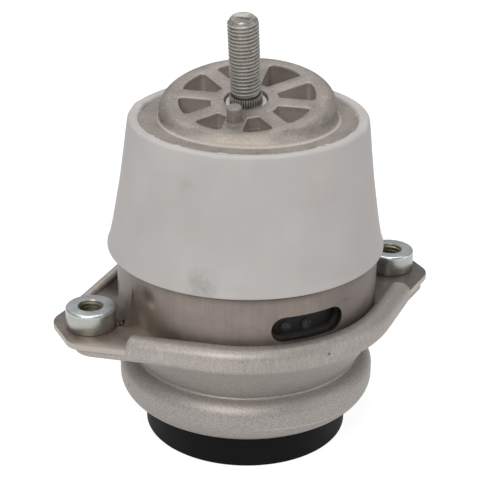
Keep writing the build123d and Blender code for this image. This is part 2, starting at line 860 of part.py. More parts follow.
# Inertia track: two plates with a ring channel and a disc chamber between them
def grid_holes(bottom, top):
    holes = []
    for count, radius in zip(grid_counts, grid_radii):
        for k in range(count):
            spot = Rot(0, 0, k * 360 / count) * Pos(radius, 0, 0)
            holes.append(spot * upright(grid_hole_radius, bottom, top))
    return holes


def rivet_spots():
    return [Rot(0, 0, (k + 0.5) * 360 / rivet_count) * Pos(rivet_circle, 0, 0) for k in range(rivet_count)]


def make_rivet(bottom, top):
    """Shank with a countersunk head at each end, flush with the plates."""
    head = rivet_head_radius - rivet_radius
    return turned_polygon(
        (0, bottom),
        (rivet_head_radius, bottom),
        (rivet_radius, bottom + head),
        (rivet_radius, top - head),
        (rivet_head_radius, top),
        (0, top),
    )


def channel_middle():
    return (channel_inner_radius + channel_outer_radius) / 2


def make_upper_track():
    chamber = disc_thickness / 2 + slide_gap
    outer_low = cone_radius(track_split) - soft_gap
    outer_high = cone_radius(ring_bottom) - soft_gap
    body = turned_polygon(
        (0, track_split),
        (outer_low, track_split),
        (outer_high, ring_bottom),
        (0, ring_bottom),
    )
    body -= upright(disc_radius + soft_gap, track_split - 1, track_split + chamber)
    body -= grid_holes(track_split, ring_bottom + 1)
    channel = Plane.XZ * Rectangle(channel_width, channel_depth + 1)
    section = Pos(channel_middle(), 0, track_split + channel_depth / 2 - 0.5) * channel
    body -= revolve(section, Axis.Z, channel_sweep)
    body -= upright(channel_port_radius, track_split, ring_bottom + 1, *port_spot(channel_port_angle()))
    groove_in = seal_circle - seal_groove_width / 2
    groove_out = seal_circle + seal_groove_width / 2
    body -= turned_polygon(
        (groove_in, ring_bottom + 1),
        (groove_out, ring_bottom + 1),
        (groove_out, ring_bottom - seal_section - slide_gap),
        (groove_in, ring_bottom - seal_section - slide_gap),
    )
    return body - rivet_room()


def channel_port_angle():
    """Angle that the port's radius takes at the middle of the channel."""
    return degrees(channel_port_radius / channel_middle()) + 1


def port_spot(angle):
    return (channel_middle() * cos(radians(angle)), channel_middle() * sin(radians(angle)))


def rivet_room():
    bottom = lower_track_bottom
    return [spot * make_rivet(bottom, ring_bottom) for spot in rivet_spots()]


def make_lower_track():
    bottom = lower_track_bottom
    chamber = disc_thickness / 2 + slide_gap
    outer_low = cone_radius(bottom) - soft_gap
    outer_high = cone_radius(track_split) - soft_gap
    body = turned_polygon((0, bottom), (outer_low, bottom), (outer_high, track_split), (0, track_split))
    body -= upright(disc_radius + soft_gap, track_split - chamber, track_split + 1)
    body -= grid_holes(bottom - 1, track_split)
    last = channel_sweep - channel_port_angle()
    body -= upright(channel_port_radius, bottom - 1, track_split + 1, *port_spot(last))
    return body - rivet_room()


def make_disc():
    half = disc_thickness / 2
    body = upright(disc_radius, track_split - half, track_split + half)
    return fillet(body.edges(), disc_thickness * 0.3)


def make_seal():
    centre = ring_bottom - seal_section / 2
    return turned_circle(seal_circle, centre, seal_section / 2)


def turned_circle(radius, height, section_radius):
    """Round ring about Z."""
    return Pos(0, 0, height) * Torus(radius, section_radius)


# Rolling diaphragm with its steel rim ring, seated on the ledge of the lower housing
def make_rim_ring():
    return turned_polygon(
        (rim_ring_inner, ledge_height),
        (rim_ring_outer, ledge_height),
        (rim_ring_outer, ledge_height + rim_ring_height),
        (rim_ring_inner, ledge_height + rim_ring_height),
    )


def make_diaphragm():
    rim_bottom = ledge_height + rim_ring_height
    rim_top = lower_track_bottom
    inner_wall = roll_outer_radius - membrane
    roll_inner = roll_outer_radius - 2 * roll_radius
    small = roll_radius - membrane
    low = roll_height - roll_radius
    return turned(
        polyline_xz(
            (rim_ring_outer, rim_top),
            (rim_ring_outer, rim_bottom),
            (rim_ring_inner, rim_bottom),
            (rim_ring_inner, ledge_height),
            (roll_outer_radius, ledge_height - 3.5),
            (roll_outer_radius, roll_height),
        ),
        ThreePointArc(
            (roll_outer_radius, 0, roll_height),
            (roll_outer_radius - roll_radius, 0, low),
            (roll_inner, 0, roll_height),
        ),
        polyline_xz(
            (roll_inner, roll_height),
            (crown_radius, crown_height),
            (0, crown_height + 2),
            (0, crown_height + 2 + membrane),
            (crown_radius + membrane * 0.6, crown_height + membrane),
            (roll_inner + membrane, roll_height),
        ),
        ThreePointArc(
            (roll_inner + membrane, 0, roll_height),
            (roll_outer_radius - roll_radius, 0, low + roll_radius - small),
            (inner_wall, 0, roll_height),
        ),
        polyline_xz(
            (inner_wall, roll_height),
            (inner_wall, ledge_height - 3),
            (rim_ring_inner - membrane, ledge_height + 0.8),
            (rim_ring_inner - membrane, rim_top),
            (rim_ring_outer, rim_top),
        ),
    )


def export_all(nodes):
    """Write one file for each node."""
    os.makedirs("parts", exist_ok=True)
    for name, shape in nodes.items():
        solids = shape.solids()
        whole = solids[0] if len(solids) == 1 else Compound(children=solids)
        export_step(whole, f"parts/{name}.step")
        print(name, len(solids), round(whole.volume))


core = make_core()
export_all({
    "mounting_stud": make_stud(),
    "stud_bush": make_bush(),
    "locating_pin": make_pin(),
    "hub_casting": make_hub(),
    "spring_core": core,
    "heat_boot": make_boot(),
    "upper_housing": make_upper_housing(),
    "left_boss": make_boss(-boss_x),
    "right_boss": make_boss(boss_x),
    "lower_housing": make_lower_housing(),
    "bottom_cap": make_cap(),
    "main_spring": make_spring(core),
    "spring_ring": make_ring(),
    "jounce_buffer": make_buffer(),
    "track_upper_plate": make_upper_track(),
    "track_lower_plate": make_lower_track(),
    "decoupler_disc": make_disc(),
    "track_rivets": Compound(children=rivet_room()),
    "track_seal": make_seal(),
    "rolling_diaphragm": make_diaphragm(),
    "diaphragm_ring": make_rim_ring(),
})
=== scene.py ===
# %% [markdown]
# A hydraulic engine mount, dressed for a studio picture.
# The real part is a stack of pressed, cast and moulded pieces. A threaded stud leans out of an
# aluminium hub, a grey boot hangs from the hub, and a steel housing with two ears stands below.
# The packed solids give the frame. Each piece that shows is modelled again here with smooth
# surfaces, and the pieces that are sealed inside keep their solids and get a better finish.
# The frame is loaded first, because every piece takes its place from it.

# %% Load the frame
from math import acos, atan2, cos, degrees, pi, radians, sin, sqrt, tan

import bmesh
import bpy
from mathutils import Matrix, Vector


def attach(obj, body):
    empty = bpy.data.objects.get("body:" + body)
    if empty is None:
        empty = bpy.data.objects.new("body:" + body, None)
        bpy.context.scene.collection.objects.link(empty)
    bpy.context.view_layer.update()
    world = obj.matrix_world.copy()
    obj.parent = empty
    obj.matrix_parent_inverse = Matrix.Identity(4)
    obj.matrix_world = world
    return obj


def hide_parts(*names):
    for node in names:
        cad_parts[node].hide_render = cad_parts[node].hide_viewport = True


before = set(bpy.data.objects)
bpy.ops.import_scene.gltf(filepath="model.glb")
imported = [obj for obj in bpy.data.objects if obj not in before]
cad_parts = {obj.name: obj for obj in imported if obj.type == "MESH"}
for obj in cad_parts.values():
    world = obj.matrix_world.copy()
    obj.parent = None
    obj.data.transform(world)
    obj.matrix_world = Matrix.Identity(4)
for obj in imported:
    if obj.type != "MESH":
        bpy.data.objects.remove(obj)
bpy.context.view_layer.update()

print("nodes in the frame:", len(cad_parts))

# %% [markdown]
# Sizes are written in millimetres, as on a drawing, and turned into metres once, when a mesh is
# finished. The leaning frame of the hub is a matrix: its Z axis runs along the stud, its X axis runs
# downhill to the locating pin. A round piece gets enough steps that its outline shows no corners.

# %% Units and the hub's leaning frame
MM = 0.001
ROUND_STEPS = 160
STUD_TILT = radians(11.2)
STUD_AZIMUTH = radians(-128.5)
FACE_ORIGIN = (-1.0, 0.5, 141.1)

hub_frame = (
    Matrix.Translation(FACE_ORIGIN)
    @ Matrix.Rotation(STUD_AZIMUTH, 4, "Z")
    @ Matrix.Rotation(STUD_TILT, 4, "Y")
)
print("stud axis:", [round(v, 3) for v in hub_frame.col[2][:3]])

# %% [markdown]
# Most of this part is turned: its shape is an outline swept round an axis. In Blender a turned piece
# is one closed outline and the Spin operator. The outline is a list of corners, each with a radius,
# a height and a rounding. A rounding is a vertex bevel, so the list stays as short as the drawing.

# %% Turned shapes
def rounded_outline(corners, segments=6):
    """Mesh with one closed ring of edges in the XZ plane, its corners rounded."""
    bm = bmesh.new()
    ring = [bm.verts.new((r, 0, z)) for r, z, _ in corners]
    bm.faces.new(ring)
    count = len(ring)
    for i, (_, _, size) in enumerate(corners):
        if size <= 0:
            continue
        here = Vector((corners[i][0], corners[i][1]))
        before = here - Vector(corners[i - 1][:2])
        after = Vector(corners[(i + 1) % count][:2]) - here
        turn = before.angle(after)
        bmesh.ops.bevel(bm, geom=[ring[i]], offset=size * tan(turn / 2), offset_type="OFFSET",
                        affect="VERTICES", segments=segments, profile=0.5, material=-1,
                        clamp_overlap=True)
    bmesh.ops.delete(bm, geom=bm.faces[:], context="FACES_ONLY")
    return bm


def turned(corners, steps=ROUND_STEPS, segments=6):
    """Closed solid of revolution about Z."""
    bm = rounded_outline(corners, segments)
    bmesh.ops.spin(bm, geom=bm.verts[:] + bm.edges[:], cent=(0, 0, 0), axis=(0, 0, 1),
                   angle=2 * pi, steps=steps, use_merge=True)
    bmesh.ops.remove_doubles(bm, verts=bm.verts[:], dist=1e-4)
    bmesh.ops.dissolve_degenerate(bm, edges=bm.edges[:], dist=1e-5)
    bmesh.ops.recalc_face_normals(bm, faces=bm.faces[:])
    return bm


def rod(radius, bottom, top, x=0.0, foot_radius=None, steps=64):
    """Upright cylinder or cone between two heights."""
    bm = bmesh.new()
    place = Matrix.Translation((x, 0, (bottom + top) / 2))
    bmesh.ops.create_cone(bm, cap_ends=True, segments=steps, radius1=foot_radius or radius,
                          radius2=radius, depth=top - bottom, matrix=place)
    return bm


print("steps round a turned piece:", ROUND_STEPS)

# %% [markdown]
# Pressed plates and machined holes are joined and cut with the Boolean modifier, as a toolmaker
# would weld and mill them. A modifier works on objects, so each mesh becomes one for that moment.
# The exact solver is slower than the fast one, but it keeps flat faces flat.

# %% Joining and cutting
def as_object(bm, name):
    """Object from a mesh in millimetres; the mesh is used up."""
    mesh = bpy.data.meshes.new(name)
    bm.to_mesh(mesh)
    bm.free()
    obj = bpy.data.objects.new(name, mesh)
    bpy.context.scene.collection.objects.link(obj)
    return obj


def combined(base, tools, operation):
    """The base mesh united with, or cut by, each tool mesh in turn."""
    result = as_object(base, "base")
    for tool_mesh in tools:
        tool = as_object(tool_mesh, "tool")
        modifier = result.modifiers.new("combine", "BOOLEAN")
        modifier.operation = operation
        modifier.solver = "EXACT"
        modifier.object = tool
        bpy.context.view_layer.update()
        shaped = bpy.data.meshes.new_from_object(
            result.evaluated_get(bpy.context.evaluated_depsgraph_get()))
        result.modifiers.clear()
        result.data = shaped
        bpy.data.objects.remove(tool)
    bm = bmesh.new()
    bm.from_mesh(result.data)
    bpy.data.objects.remove(result)
    bmesh.ops.remove_doubles(bm, verts=bm.verts[:], dist=1e-4)
    return bm


drilled = combined(rod(5, 0, 5), [rod(2, -1, 6)], "DIFFERENCE")
print("a drilled disc has", len(drilled.faces), "faces")
drilled.free()

# %% [markdown]
# No edge of a real part is perfectly sharp, so edges are chosen by where they lie and rounded with a
# bevel. A finished mesh is scaled to metres and shaded smooth, with sharp edges wherever two faces
# meet at an angle. Then it is hung on the body it rides on, and the packed nodes it stands for are hidden.

# %% Softening edges and finishing pieces
LEVEL_TOLERANCE = 0.01
CLEAR_ANGLE = radians(40)
SHADING_ANGLE = radians(34)


def soften(bm, chosen, size, segments=3):
    """Round the chosen edges."""
    bmesh.ops.bevel(bm, geom=chosen, offset=size, offset_type="OFFSET", affect="EDGES",
                    segments=segments, profile=0.5, material=-1, clamp_overlap=True)


def level_edges(bm, height):
    """Edges that lie flat at a height, where two faces meet at a clear angle."""
    found = []
    for edge in bm.edges:
        level = all(abs(v.co.z - height) < LEVEL_TOLERANCE for v in edge.verts)
        if level and len(edge.link_faces) == 2 and edge.calc_face_angle(0) > CLEAR_ANGLE:
            found.append(edge)
    return found


def finished(bm, name, nodes):
    """Piece of the mount that stands for packed nodes, in metres."""
    bmesh.ops.scale(bm, vec=(MM, MM, MM), verts=bm.verts[:])
    piece = as_object(bm, name)
    piece.data.shade_smooth()
    piece.data.set_sharp_from_angle(angle=SHADING_ANGLE)
    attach(piece, "root")
    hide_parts(*nodes)
    print(name, "faces:", len(piece.data.polygons), "box mm:",
          [round(v / MM, 1) for v in piece.dimensions])
    return piece


print("edges stay sharp above", round(degrees(SHADING_ANGLE)), "degrees")

# %% [markdown]
# The boot is a moulded silicone sleeve. It hangs from the rim of the hub's flange, swells gently
# and flares at its hem. It could be modelled as a sheet and bent round, but one turned outline
# gives the wall, the hook under the flange and the lip over it as a single closed mesh.

# %% Heat boot
FLANGE_TOP = 132.2
BOOT_HEM = 80.5
BOOT_CREST = 133.7
LIP_FOOT = FLANGE_TOP + 0.02
boot = turned([
    (55.6, BOOT_HEM, 0.6), (54.45, 83.4, 9), (52.9, 91.0, 40), (50.1, 108.0, 160), (48.5, 120.5, 90),
    (47.55, 128.6, 30), (46.85, BOOT_CREST, 1.5), (43.0, 133.35, 1.2), (42.5, LIP_FOOT, 0),
    (44.2, LIP_FOOT, 0), (44.2, 126.9, 0), (42.4, 126.9, 0.4), (42.4, 124.5, 0.5), (45.6, 122.0, 2),
    (47.5, 108.0, 120), (50.4, 90.5, 30), (52.75, 82.4, 2), (52.75, BOOT_HEM, 0.3),
], steps=360)
print("boot as turned:", len(boot.faces), "faces")

# %% [markdown]
# A mould never closes perfectly: the lip's inner edge keeps torn scraps of flash, which lie on the
# flange, and its crest has a small bump and a dent. The boot also hangs a little askew, so its outer
# skin is drawn sideways more and more towards the hem. The changes are small and follow plain
# formulas, so the turned mesh is kept and its vertices are moved.

# %% Flash, crest and hang of the boot
FLASH = [(-171.0, 1.8, 0.9), (-166.0, 1.2, 0.5), (-152.0, 2.2, 1.1), (-146.5, 1.0, 0.6), (-128.0, 2.6, 1.2),
         (-121.0, 1.2, 0.5), (-108.0, 1.4, 0.4), (-92.0, 1.2, 0.5), (-78.0, 2.4, 1.0), (-73.0, 1.3, 0.9),
         (-52.0, 1.6, 0.5), (-20.0, 1.8, 0.7), (35.0, 2.0, 0.8), (92.0, 1.6, 0.6), (150.0, 2.0, 0.7)]
FLASH_SHARE = 0.6
LIP_REACH = 43.6
CREST_FOOT = 130.0
HEM_PULL = Vector((-0.63, 0.30))


def lump(turn, middle, width):
    """Smooth bump of height one round an angle given in degrees."""
    off = (degrees(turn) - middle + 180) % 360 - 180
    return max(0.0, 1 - (off / width) ** 2)


def outer_skin(radius, height):
    """True on the side of the wall that faces out."""
    return radius > 54.2 - 0.19 * (height - 81)


for vert in boot.verts:
    turn = atan2(vert.co.y, vert.co.x)
    radius, height = vert.co.xy.length, vert.co.z
    above_flange = height > FLANGE_TOP + 0.1
    if height > FLANGE_TOP - 0.2 and radius < LIP_REACH:
        scraps = sum(size * lump(turn, middle, width) for middle, width, size in FLASH)
        ragged = 0.10 * sin(37 * turn) + 0.08 * sin(61 * turn + 1.0) + 0.05 * sin(97 * turn + 2.0)
        vert.co.xy *= 1 - FLASH_SHARE * (scraps + ragged) * min(1.0, LIP_REACH - radius) / radius
        vert.co.z += 0.25 * min(1.0, scraps) * above_flange
    if height > CREST_FOOT:
        lift = 0.05 * sin(5 * turn + 0.7) + 0.04 * sin(13 * turn + 2.0) + 0.03 * sin(29 * turn)
        lift = min(0.0, lift) + 0.5 * lump(turn, 139.0, 5.0) - 0.45 * lump(turn, -44.0, 6.0)
        vert.co.z += lift * (height - CREST_FOOT) / (BOOT_CREST - CREST_FOOT) * above_flange
    if outer_skin(radius, height):
        vert.co.xy += HEM_PULL * max(0.0, BOOT_CREST - height) / (BOOT_CREST - BOOT_HEM)
print("scraps of flash:", len(FLASH))

# %% [markdown]
# A few crumbs of silicone lie loose against the lip, given by their angle and radius. Each is a
# tiny sphere with few faces, stretched and turned so that no two look alike.

# %% Crumbs on the flange
CRUMBS = [(-172.5, 42.2), (-170.8, 42.0), (-169.0, 42.3), (-153.5, 42.2), (-151.8, 41.8), (-150.0, 42.2),
          (-148.6, 42.0), (-130.0, 42.1), (-127.6, 41.9), (-125.5, 42.2), (-123.8, 42.0), (-81.0, 42.0),
          (-79.2, 41.4), (-77.6, 41.9), (-76.0, 40.8), (-74.6, 41.6), (-73.0, 42.1), (-71.5, 41.2),
          (-102.0, 42.1), (-45.0, 42.2), (-43.0, 41.9), (-20.0, 42.0), (40.0, 42.0), (107.0, 42.1)]
for k, (azimuth, radius) in enumerate(CRUMBS):
    size = 0.24 + 0.20 * sin(k * 2.3) ** 2
    turn = radians(azimuth)
    shape = (Matrix.Translation((radius * cos(turn), radius * sin(turn), FLANGE_TOP + size * 0.4))
             @ Matrix.Rotation(k * 1.3, 4, "Z") @ Matrix.Diagonal((1.8, 0.8, 0.8, 1)))
    bmesh.ops.create_icosphere(boot, subdivisions=1, radius=size, matrix=shape)
boot_piece = finished(boot, "boot", ["heat_boot"])

# %% [markdown]
# The hub is a die casting. Its round flange is level, but the dome above it is turned about the
# leaning axis of the stud. The dome's skin is drawn along its profile: from the flat top over a
# round shoulder and down a slightly drafted wall. Where the wall reaches the flange is found anew at
# each angle, because one side of the dome is low and the other high.

# %% Skin of the hub's dome
DOME_RADIUS = 34.6
DOME_SHIFT = -1.7
SHOULDER = 4.4
FACE_DROP = 1.0
DOME_DRAFT = radians(3)


def dome_skin(turn, along):
    """Point of the dome's skin at a distance along its profile, measured from the flat top."""
    arc = SHOULDER * pi / 2
    bend = min(along, arc) / SHOULDER
    straight = max(0.0, along - arc)
    radius = DOME_RADIUS - SHOULDER + SHOULDER * sin(bend) + straight * sin(DOME_DRAFT)
    drop = FACE_DROP + SHOULDER * (1 - cos(bend)) + straight * cos(DOME_DRAFT)
    return hub_frame @ Vector((DOME_SHIFT + radius * cos(turn), radius * sin(turn), -drop))


def reach_down(turn, height):
    """Distance along the profile at which the skin has come down to a height."""
    low, high = 0.0, 40.0
    for _ in range(40):
        middle = (low + high) / 2
        if dome_skin(turn, middle).z > height:
            low = middle
        else:
            high = middle
    return low


for name, turn in (("low", 0), ("high", pi)):
    print("dome's wall on the", name, "side:", round(reach_down(turn, FLANGE_TOP), 1), "mm along its profile")

# %% [markdown]
# The dome could be a cone cut by a plane, but its foot spreads out to a level circle on the flange,
# wider on one side than on the other. So it is a stack of rings, each drawn from the skin or between
# the skin and that circle, and Bridge Loops joins them. The flange and neck are turned.

# %% Hub: flange, neck and leaning dome
FLANGE_RADIUS = 43.9
FLANGE_BOTTOM = 127.2
FOOT_CIRCLE = 36.4
FOOT_SHIFT = 0.4
FOOT_LEAST = 1.3
FOOT_RINGS, WALL_RINGS = 9, 14


def dome_shape():
    """Closed dome from inside the flange up to the leaning top face."""
    turns = [2 * pi * k / ROUND_STEPS for k in range(ROUND_STEPS)]
    walls, feet = [], []
    for turn in turns:
        start = dome_skin(turn, reach_down(turn, FLANGE_TOP))
        middle = Vector((FOOT_SHIFT, 0, start.z))
        spread = max(FOOT_CIRCLE - (start - middle).length, FOOT_LEAST)
        rim = start + (start - middle).normalized() * spread
        length = reach_down(turn, FLANGE_TOP + max(FOOT_LEAST, spread * 0.9))
        walls.append([dome_skin(turn, length * (1 - k / WALL_RINGS)) for k in range(WALL_RINGS + 1)])
        foot = [rim + Vector((0, 0, -0.6))]
        for k in range(FOOT_RINGS):
            u = k / FOOT_RINGS
            foot.append(rim * (1 - u) ** 2 + start * 2 * u * (1 - u) + walls[-1][0] * u ** 2)
        feet.append(foot)
    bm = bmesh.new()
    loops = []
    for ring in list(zip(*feet)) + list(zip(*walls)):
        verts = [bm.verts.new(point) for point in ring]
        loops.append([bm.edges.new((verts[k - 1], verts[k])) for k in range(len(verts))])
    for low, high in zip(loops, loops[1:]):
        bmesh.ops.bridge_loops(bm, edges=low + high)
    for loop in (loops[0], loops[-1]):
        bmesh.ops.contextual_create(bm, geom=loop)
    bmesh.ops.recalc_face_normals(bm, faces=bm.faces[:])
    return bm


hub = combined(turned([
    (0, 106, 0), (20, 106, 0), (31.5, 118, 0), (31.5, FLANGE_BOTTOM, 0.6),
    (FLANGE_RADIUS, FLANGE_BOTTOM, 0.6), (FLANGE_RADIUS, FLANGE_TOP, 1.0), (0, FLANGE_TOP, 0),
]), [dome_shape()], "UNION")
print("hub before its pockets:", len(hub.faces), "faces")

# %% [markdown]
# Eight pockets lighten the casting and leave spokes of even width. Each pocket lies between two
# spokes, an outer circle and an inner circle, so its four corners are computed from them and then
# rounded. Drawing the outline by formula lets the same one be drawn again at every depth.

# %% Outline of a pocket
OUTER_CIRCLE = (-1.7, 26.8)
INNER_CIRCLE = (1.5, 13.4)
SPOKE_WIDTH, PEG_SPOKE_WIDTH = 6.1, 8.0
OUTER_ROUND, INNER_ROUND = 1.9, 0.9


def pocket_corner(spoke, side, circle, inset):
    """Where one side of a spoke meets a circle about a point on the X axis."""
    angle = radians(45 * spoke)
    shift, radius = circle
    half = side * ((PEG_SPOKE_WIDTH if spoke % 8 == 0 else SPOKE_WIDTH) / 2 + inset)
    reach = shift * cos(angle) + sqrt(radius ** 2 - (half + shift * sin(angle)) ** 2)
    return (reach * cos(angle) - half * sin(angle), reach * sin(angle) + half * cos(angle))


def arc_points(start, end, circle, parts):
    """Points on a circle at given parts of the way from one corner to another."""
    middle = Vector((circle[0], 0))
    first, last = Vector(start) - middle, Vector(end) - middle
    turn = first.angle_signed(last)
    return [middle + Matrix.Rotation(-turn * part, 2) @ first for part in parts]


def pocket_outline(spoke, inset):
    """Rounded outline of the pocket behind a spoke, drawn inside its mouth by an inset."""
    outer, inner = (OUTER_CIRCLE[0], OUTER_CIRCLE[1] - inset), (INNER_CIRCLE[0], INNER_CIRCLE[1] + inset)
    corners = [pocket_corner(spoke, 1, outer, inset), pocket_corner(spoke + 1, -1, outer, inset),
               pocket_corner(spoke + 1, -1, inner, inset), pocket_corner(spoke, 1, inner, inset)]
    rim = arc_points(corners[0], corners[1], outer, (0.27, 0.38, 0.5, 0.62, 0.73))
    land = arc_points(corners[2], corners[3], inner, (0.5,))
    ring = [(corners[0], OUTER_ROUND), *[(p, 0) for p in rim], (corners[1], OUTER_ROUND),
            (corners[2], INNER_ROUND), *[(p, 0) for p in land], (corners[3], INNER_ROUND)]
    points = []
    for i, (place, size) in enumerate(ring):
        here = Vector(place)
        if size == 0:
            points.append(here)
            continue
        back = (Vector(ring[i - 1][0]) - here).normalized()
        onward = (Vector(ring[(i + 1) % len(ring)][0]) - here).normalized()
        reach = max(0.5, size + inset * 0.2) / tan(back.angle(onward) / 2)
        for k in range(7):
            u = k / 6
            points.append(here + back * reach * (1 - u) ** 2 + onward * reach * u ** 2)
    return points


print("points round one pocket:", len(pocket_outline(0, 0)))

# %% [markdown]
# A pocket narrows with its depth, which is the draft that lets the casting leave its mould, and its
# mouth and floor are rounded. So the outline is drawn at a stack of heights, each with its own
# inset, and Bridge Loops turns the stack into a closed tool for cutting.

# %% Tool for the pockets
POCKET_DEPTH = 13.0
MOUTH_ROUND, FLOOR_ROUND = 0.5, 0.9
DRAFT = tan(radians(3))


def pocket_tool():
    """Eight rounded, drafted pockets in one mesh, in the hub's leaning frame."""
    stack = [(1.0, -1.0), (0.08 - FACE_DROP, -0.58)]
    for a in (1.2, 0.8, 0.4, 0):
        stack.append((MOUTH_ROUND * (sin(a) - 1) - FACE_DROP, MOUTH_ROUND * (cos(a) - 1)))
    low = DRAFT * (POCKET_DEPTH - FACE_DROP - FLOOR_ROUND)
    for a in (0, 0.5, 1.0, pi / 2):
        stack.append((-POCKET_DEPTH + FLOOR_ROUND * (1 - sin(a)), low + FLOOR_ROUND * (1 - cos(a))))
    bm = bmesh.new()
    for spoke in range(8):
        loops = []
        for z, inset in stack:
            ring = [bm.verts.new((p.x, p.y, z)) for p in pocket_outline(spoke, inset)]
            loops.append([bm.edges.new((ring[k - 1], ring[k])) for k in range(len(ring))])
        for high, below in zip(loops, loops[1:]):
            bmesh.ops.bridge_loops(bm, edges=high + below)
        for loop in (loops[0], loops[-1]):
            bmesh.ops.contextual_create(bm, geom=loop)
    bmesh.ops.recalc_face_normals(bm, faces=bm.faces[:])
    print("pocket tool:", len(bm.faces), "faces, heights", [round(z, 2) for z, _ in stack])
    bmesh.ops.transform(bm, matrix=hub_frame, verts=bm.verts[:])
    return bm


# %% [markdown]
# Three bores take the bush, the stud's shank and the locating pin. They run along the stud, so each
# is a cylinder laid into the leaning frame. Their rims are softened where they meet the top face.
# Edges at one height are easy to find only where that face is level, so the casting is turned into
# its own frame for this step and back again.

# %% Hub: pockets and bores
BUSH_RADIUS, BUSH_FOOT = 8.5, -19.8
SHANK_RADIUS = 5.5
PIN_RADIUS, PIN_FOOT, PIN_PLACE = 2.5, -8, 18.2


def leaning_rod(radius, bottom, top, x=0.0):
    """Cylinder along the stud's direction, between two distances from the hub's top face."""
    bm = rod(radius, bottom, top, x)
    bmesh.ops.transform(bm, matrix=hub_frame, verts=bm.verts[:])
    return bm


hub = combined(hub, [pocket_tool(), leaning_rod(BUSH_RADIUS + 0.05, BUSH_FOOT, 2),
                     leaning_rod(SHANK_RADIUS + 0.1, -50, 2),
                     leaning_rod(PIN_RADIUS + 0.05, PIN_FOOT, 3, PIN_PLACE)], "DIFFERENCE")
bmesh.ops.transform(hub, matrix=hub_frame.inverted(), verts=hub.verts[:])
rims = [e for e in level_edges(hub, -FACE_DROP) if e.verts[0].co.xy.length < 22]
soften(hub, rims, 0.5)
bmesh.ops.transform(hub, matrix=hub_frame, verts=hub.verts[:])
hub_piece = finished(hub, "hub", ["hub_casting"])

# %% [markdown]
# A thread is a groove that climbs as it goes round. Spin can climb too: one tooth's outline is
# spun about the axis and moved one pitch for each turn, and because the outline is exactly one
# pitch long, the turns join. The ends are cut square, closed, and the crests are trimmed to a
# cone where the thread starts, as a chamfering tool would.

# %% Thread maker
THREAD_STEPS = 56


def thread_rod(major, minor, pitch, bottom, top, lead_in, run_out):
    """Closed threaded rod about Z with a chamfered start at its top."""
    bm = bmesh.new()
    turns = int((top - bottom) / pitch) + 3
    start = bottom - pitch * 1.5
    flank = pitch * 0.38
    outline = [(minor, 0), (minor, pitch * 0.12), (major, pitch * 0.12 + flank),
               (major, pitch * 0.12 + flank + pitch * 0.12), (minor, pitch)]
    verts = [bm.verts.new((r, 0, start + z)) for r, z in outline]
    edges = [bm.edges.new(pair) for pair in zip(verts, verts[1:])]
    bmesh.ops.spin(bm, geom=verts + edges, cent=(0, 0, 0), axis=(0, 0, 1),
                   dvec=(0, 0, pitch / THREAD_STEPS), angle=2 * pi * turns, steps=THREAD_STEPS * turns,
                   use_merge=False)
    bmesh.ops.remove_doubles(bm, verts=bm.verts[:], dist=1e-4)
    for height, side in ((bottom, -1), (top, 1)):
        geom = bm.verts[:] + bm.edges[:] + bm.faces[:]
        bmesh.ops.bisect_plane(bm, geom=geom, plane_co=(0, 0, height), plane_no=(0, 0, side),
                               clear_outer=True, dist=1e-5)
    for vert in bm.verts:
        radius = vert.co.xy.length
        allowed = min(major, major - lead_in + (top - vert.co.z) * 0.9,
                      minor + max(0.0, vert.co.z - bottom) / run_out * (major - minor))
        if radius > allowed:
            vert.co.xy *= allowed / radius
    for height in (bottom, top):
        rim = [e for e in bm.edges if e.is_boundary and abs(e.verts[0].co.z - height) < 1e-3
               and abs(e.verts[1].co.z - height) < 1e-3]
        bmesh.ops.contextual_create(bm, geom=rim)
    bmesh.ops.recalc_face_normals(bm, faces=bm.faces[:])
    return bm


print("steps in one turn of a thread:", THREAD_STEPS)

# %% [markdown]
# The stud is an M12 bolt end with a rolled thread. Where it leaves the hub it has a short knurled
# collar, which bites into the bush when it is pressed in. The collar is a ring whose every second
# corner is pushed in. Below it a plain shank goes down into the casting. The end of the stud has
# a shallow dish, which is an inset of its end face.

# %% Mounting stud
STUD_REACH = 33.5
STUD_RADIUS, STUD_ROOT, PITCH = 6.0, 5.16, 1.5
COLLAR_RADIUS, COLLAR_FOOT, COLLAR_TOP = 6.42, -2.2, 1.4


def knurled_collar():
    """Ring of small teeth round the foot of the stud."""
    teeth = 40
    bm = rod(COLLAR_RADIUS, COLLAR_FOOT, COLLAR_TOP, steps=teeth * 2)
    for vert in bm.verts:
        tooth = round(atan2(vert.co.y, vert.co.x) / (pi / teeth))
        if tooth % 2:
            vert.co.xy *= STUD_RADIUS / COLLAR_RADIUS
    soften(bm, level_edges(bm, COLLAR_TOP), 0.35, segments=2)
    return bm


def mounting_stud():
    """Threaded end, knurled collar and shank in one mesh."""
    bm = thread_rod(STUD_RADIUS, STUD_ROOT, PITCH, COLLAR_TOP + 0.25, STUD_REACH, lead_in=1.5, run_out=1.0)
    end = [f for f in bm.faces if all(abs(v.co.z - STUD_REACH) < 1e-3 for v in f.verts)]
    bmesh.ops.inset_region(bm, faces=end, thickness=0.9, depth=0)
    bmesh.ops.inset_region(bm, faces=end, thickness=0.9, depth=-0.4)
    shank = turned([(0, -40, 0), (4.5, -40, 0), (SHANK_RADIUS, -39, 0), (SHANK_RADIUS, COLLAR_FOOT, 0),
                    (5.3, COLLAR_FOOT, 0), (5.3, COLLAR_TOP + 0.6, 0), (0, COLLAR_TOP + 0.6, 0)], steps=64)
    return combined(bm, [shank, knurled_collar()], "UNION")


stud = mounting_stud()
bmesh.ops.transform(stud, matrix=hub_frame, verts=stud.verts[:])
stud_piece = finished(stud, "stud", ["mounting_stud"])

# %% [markdown]
# The bush is a turned steel ring round the stud, seen as a thin bright line in a shadow. The
# locating pin is a short cast peg with a small collar at its foot. Both are turned outlines laid
# into the leaning frame.

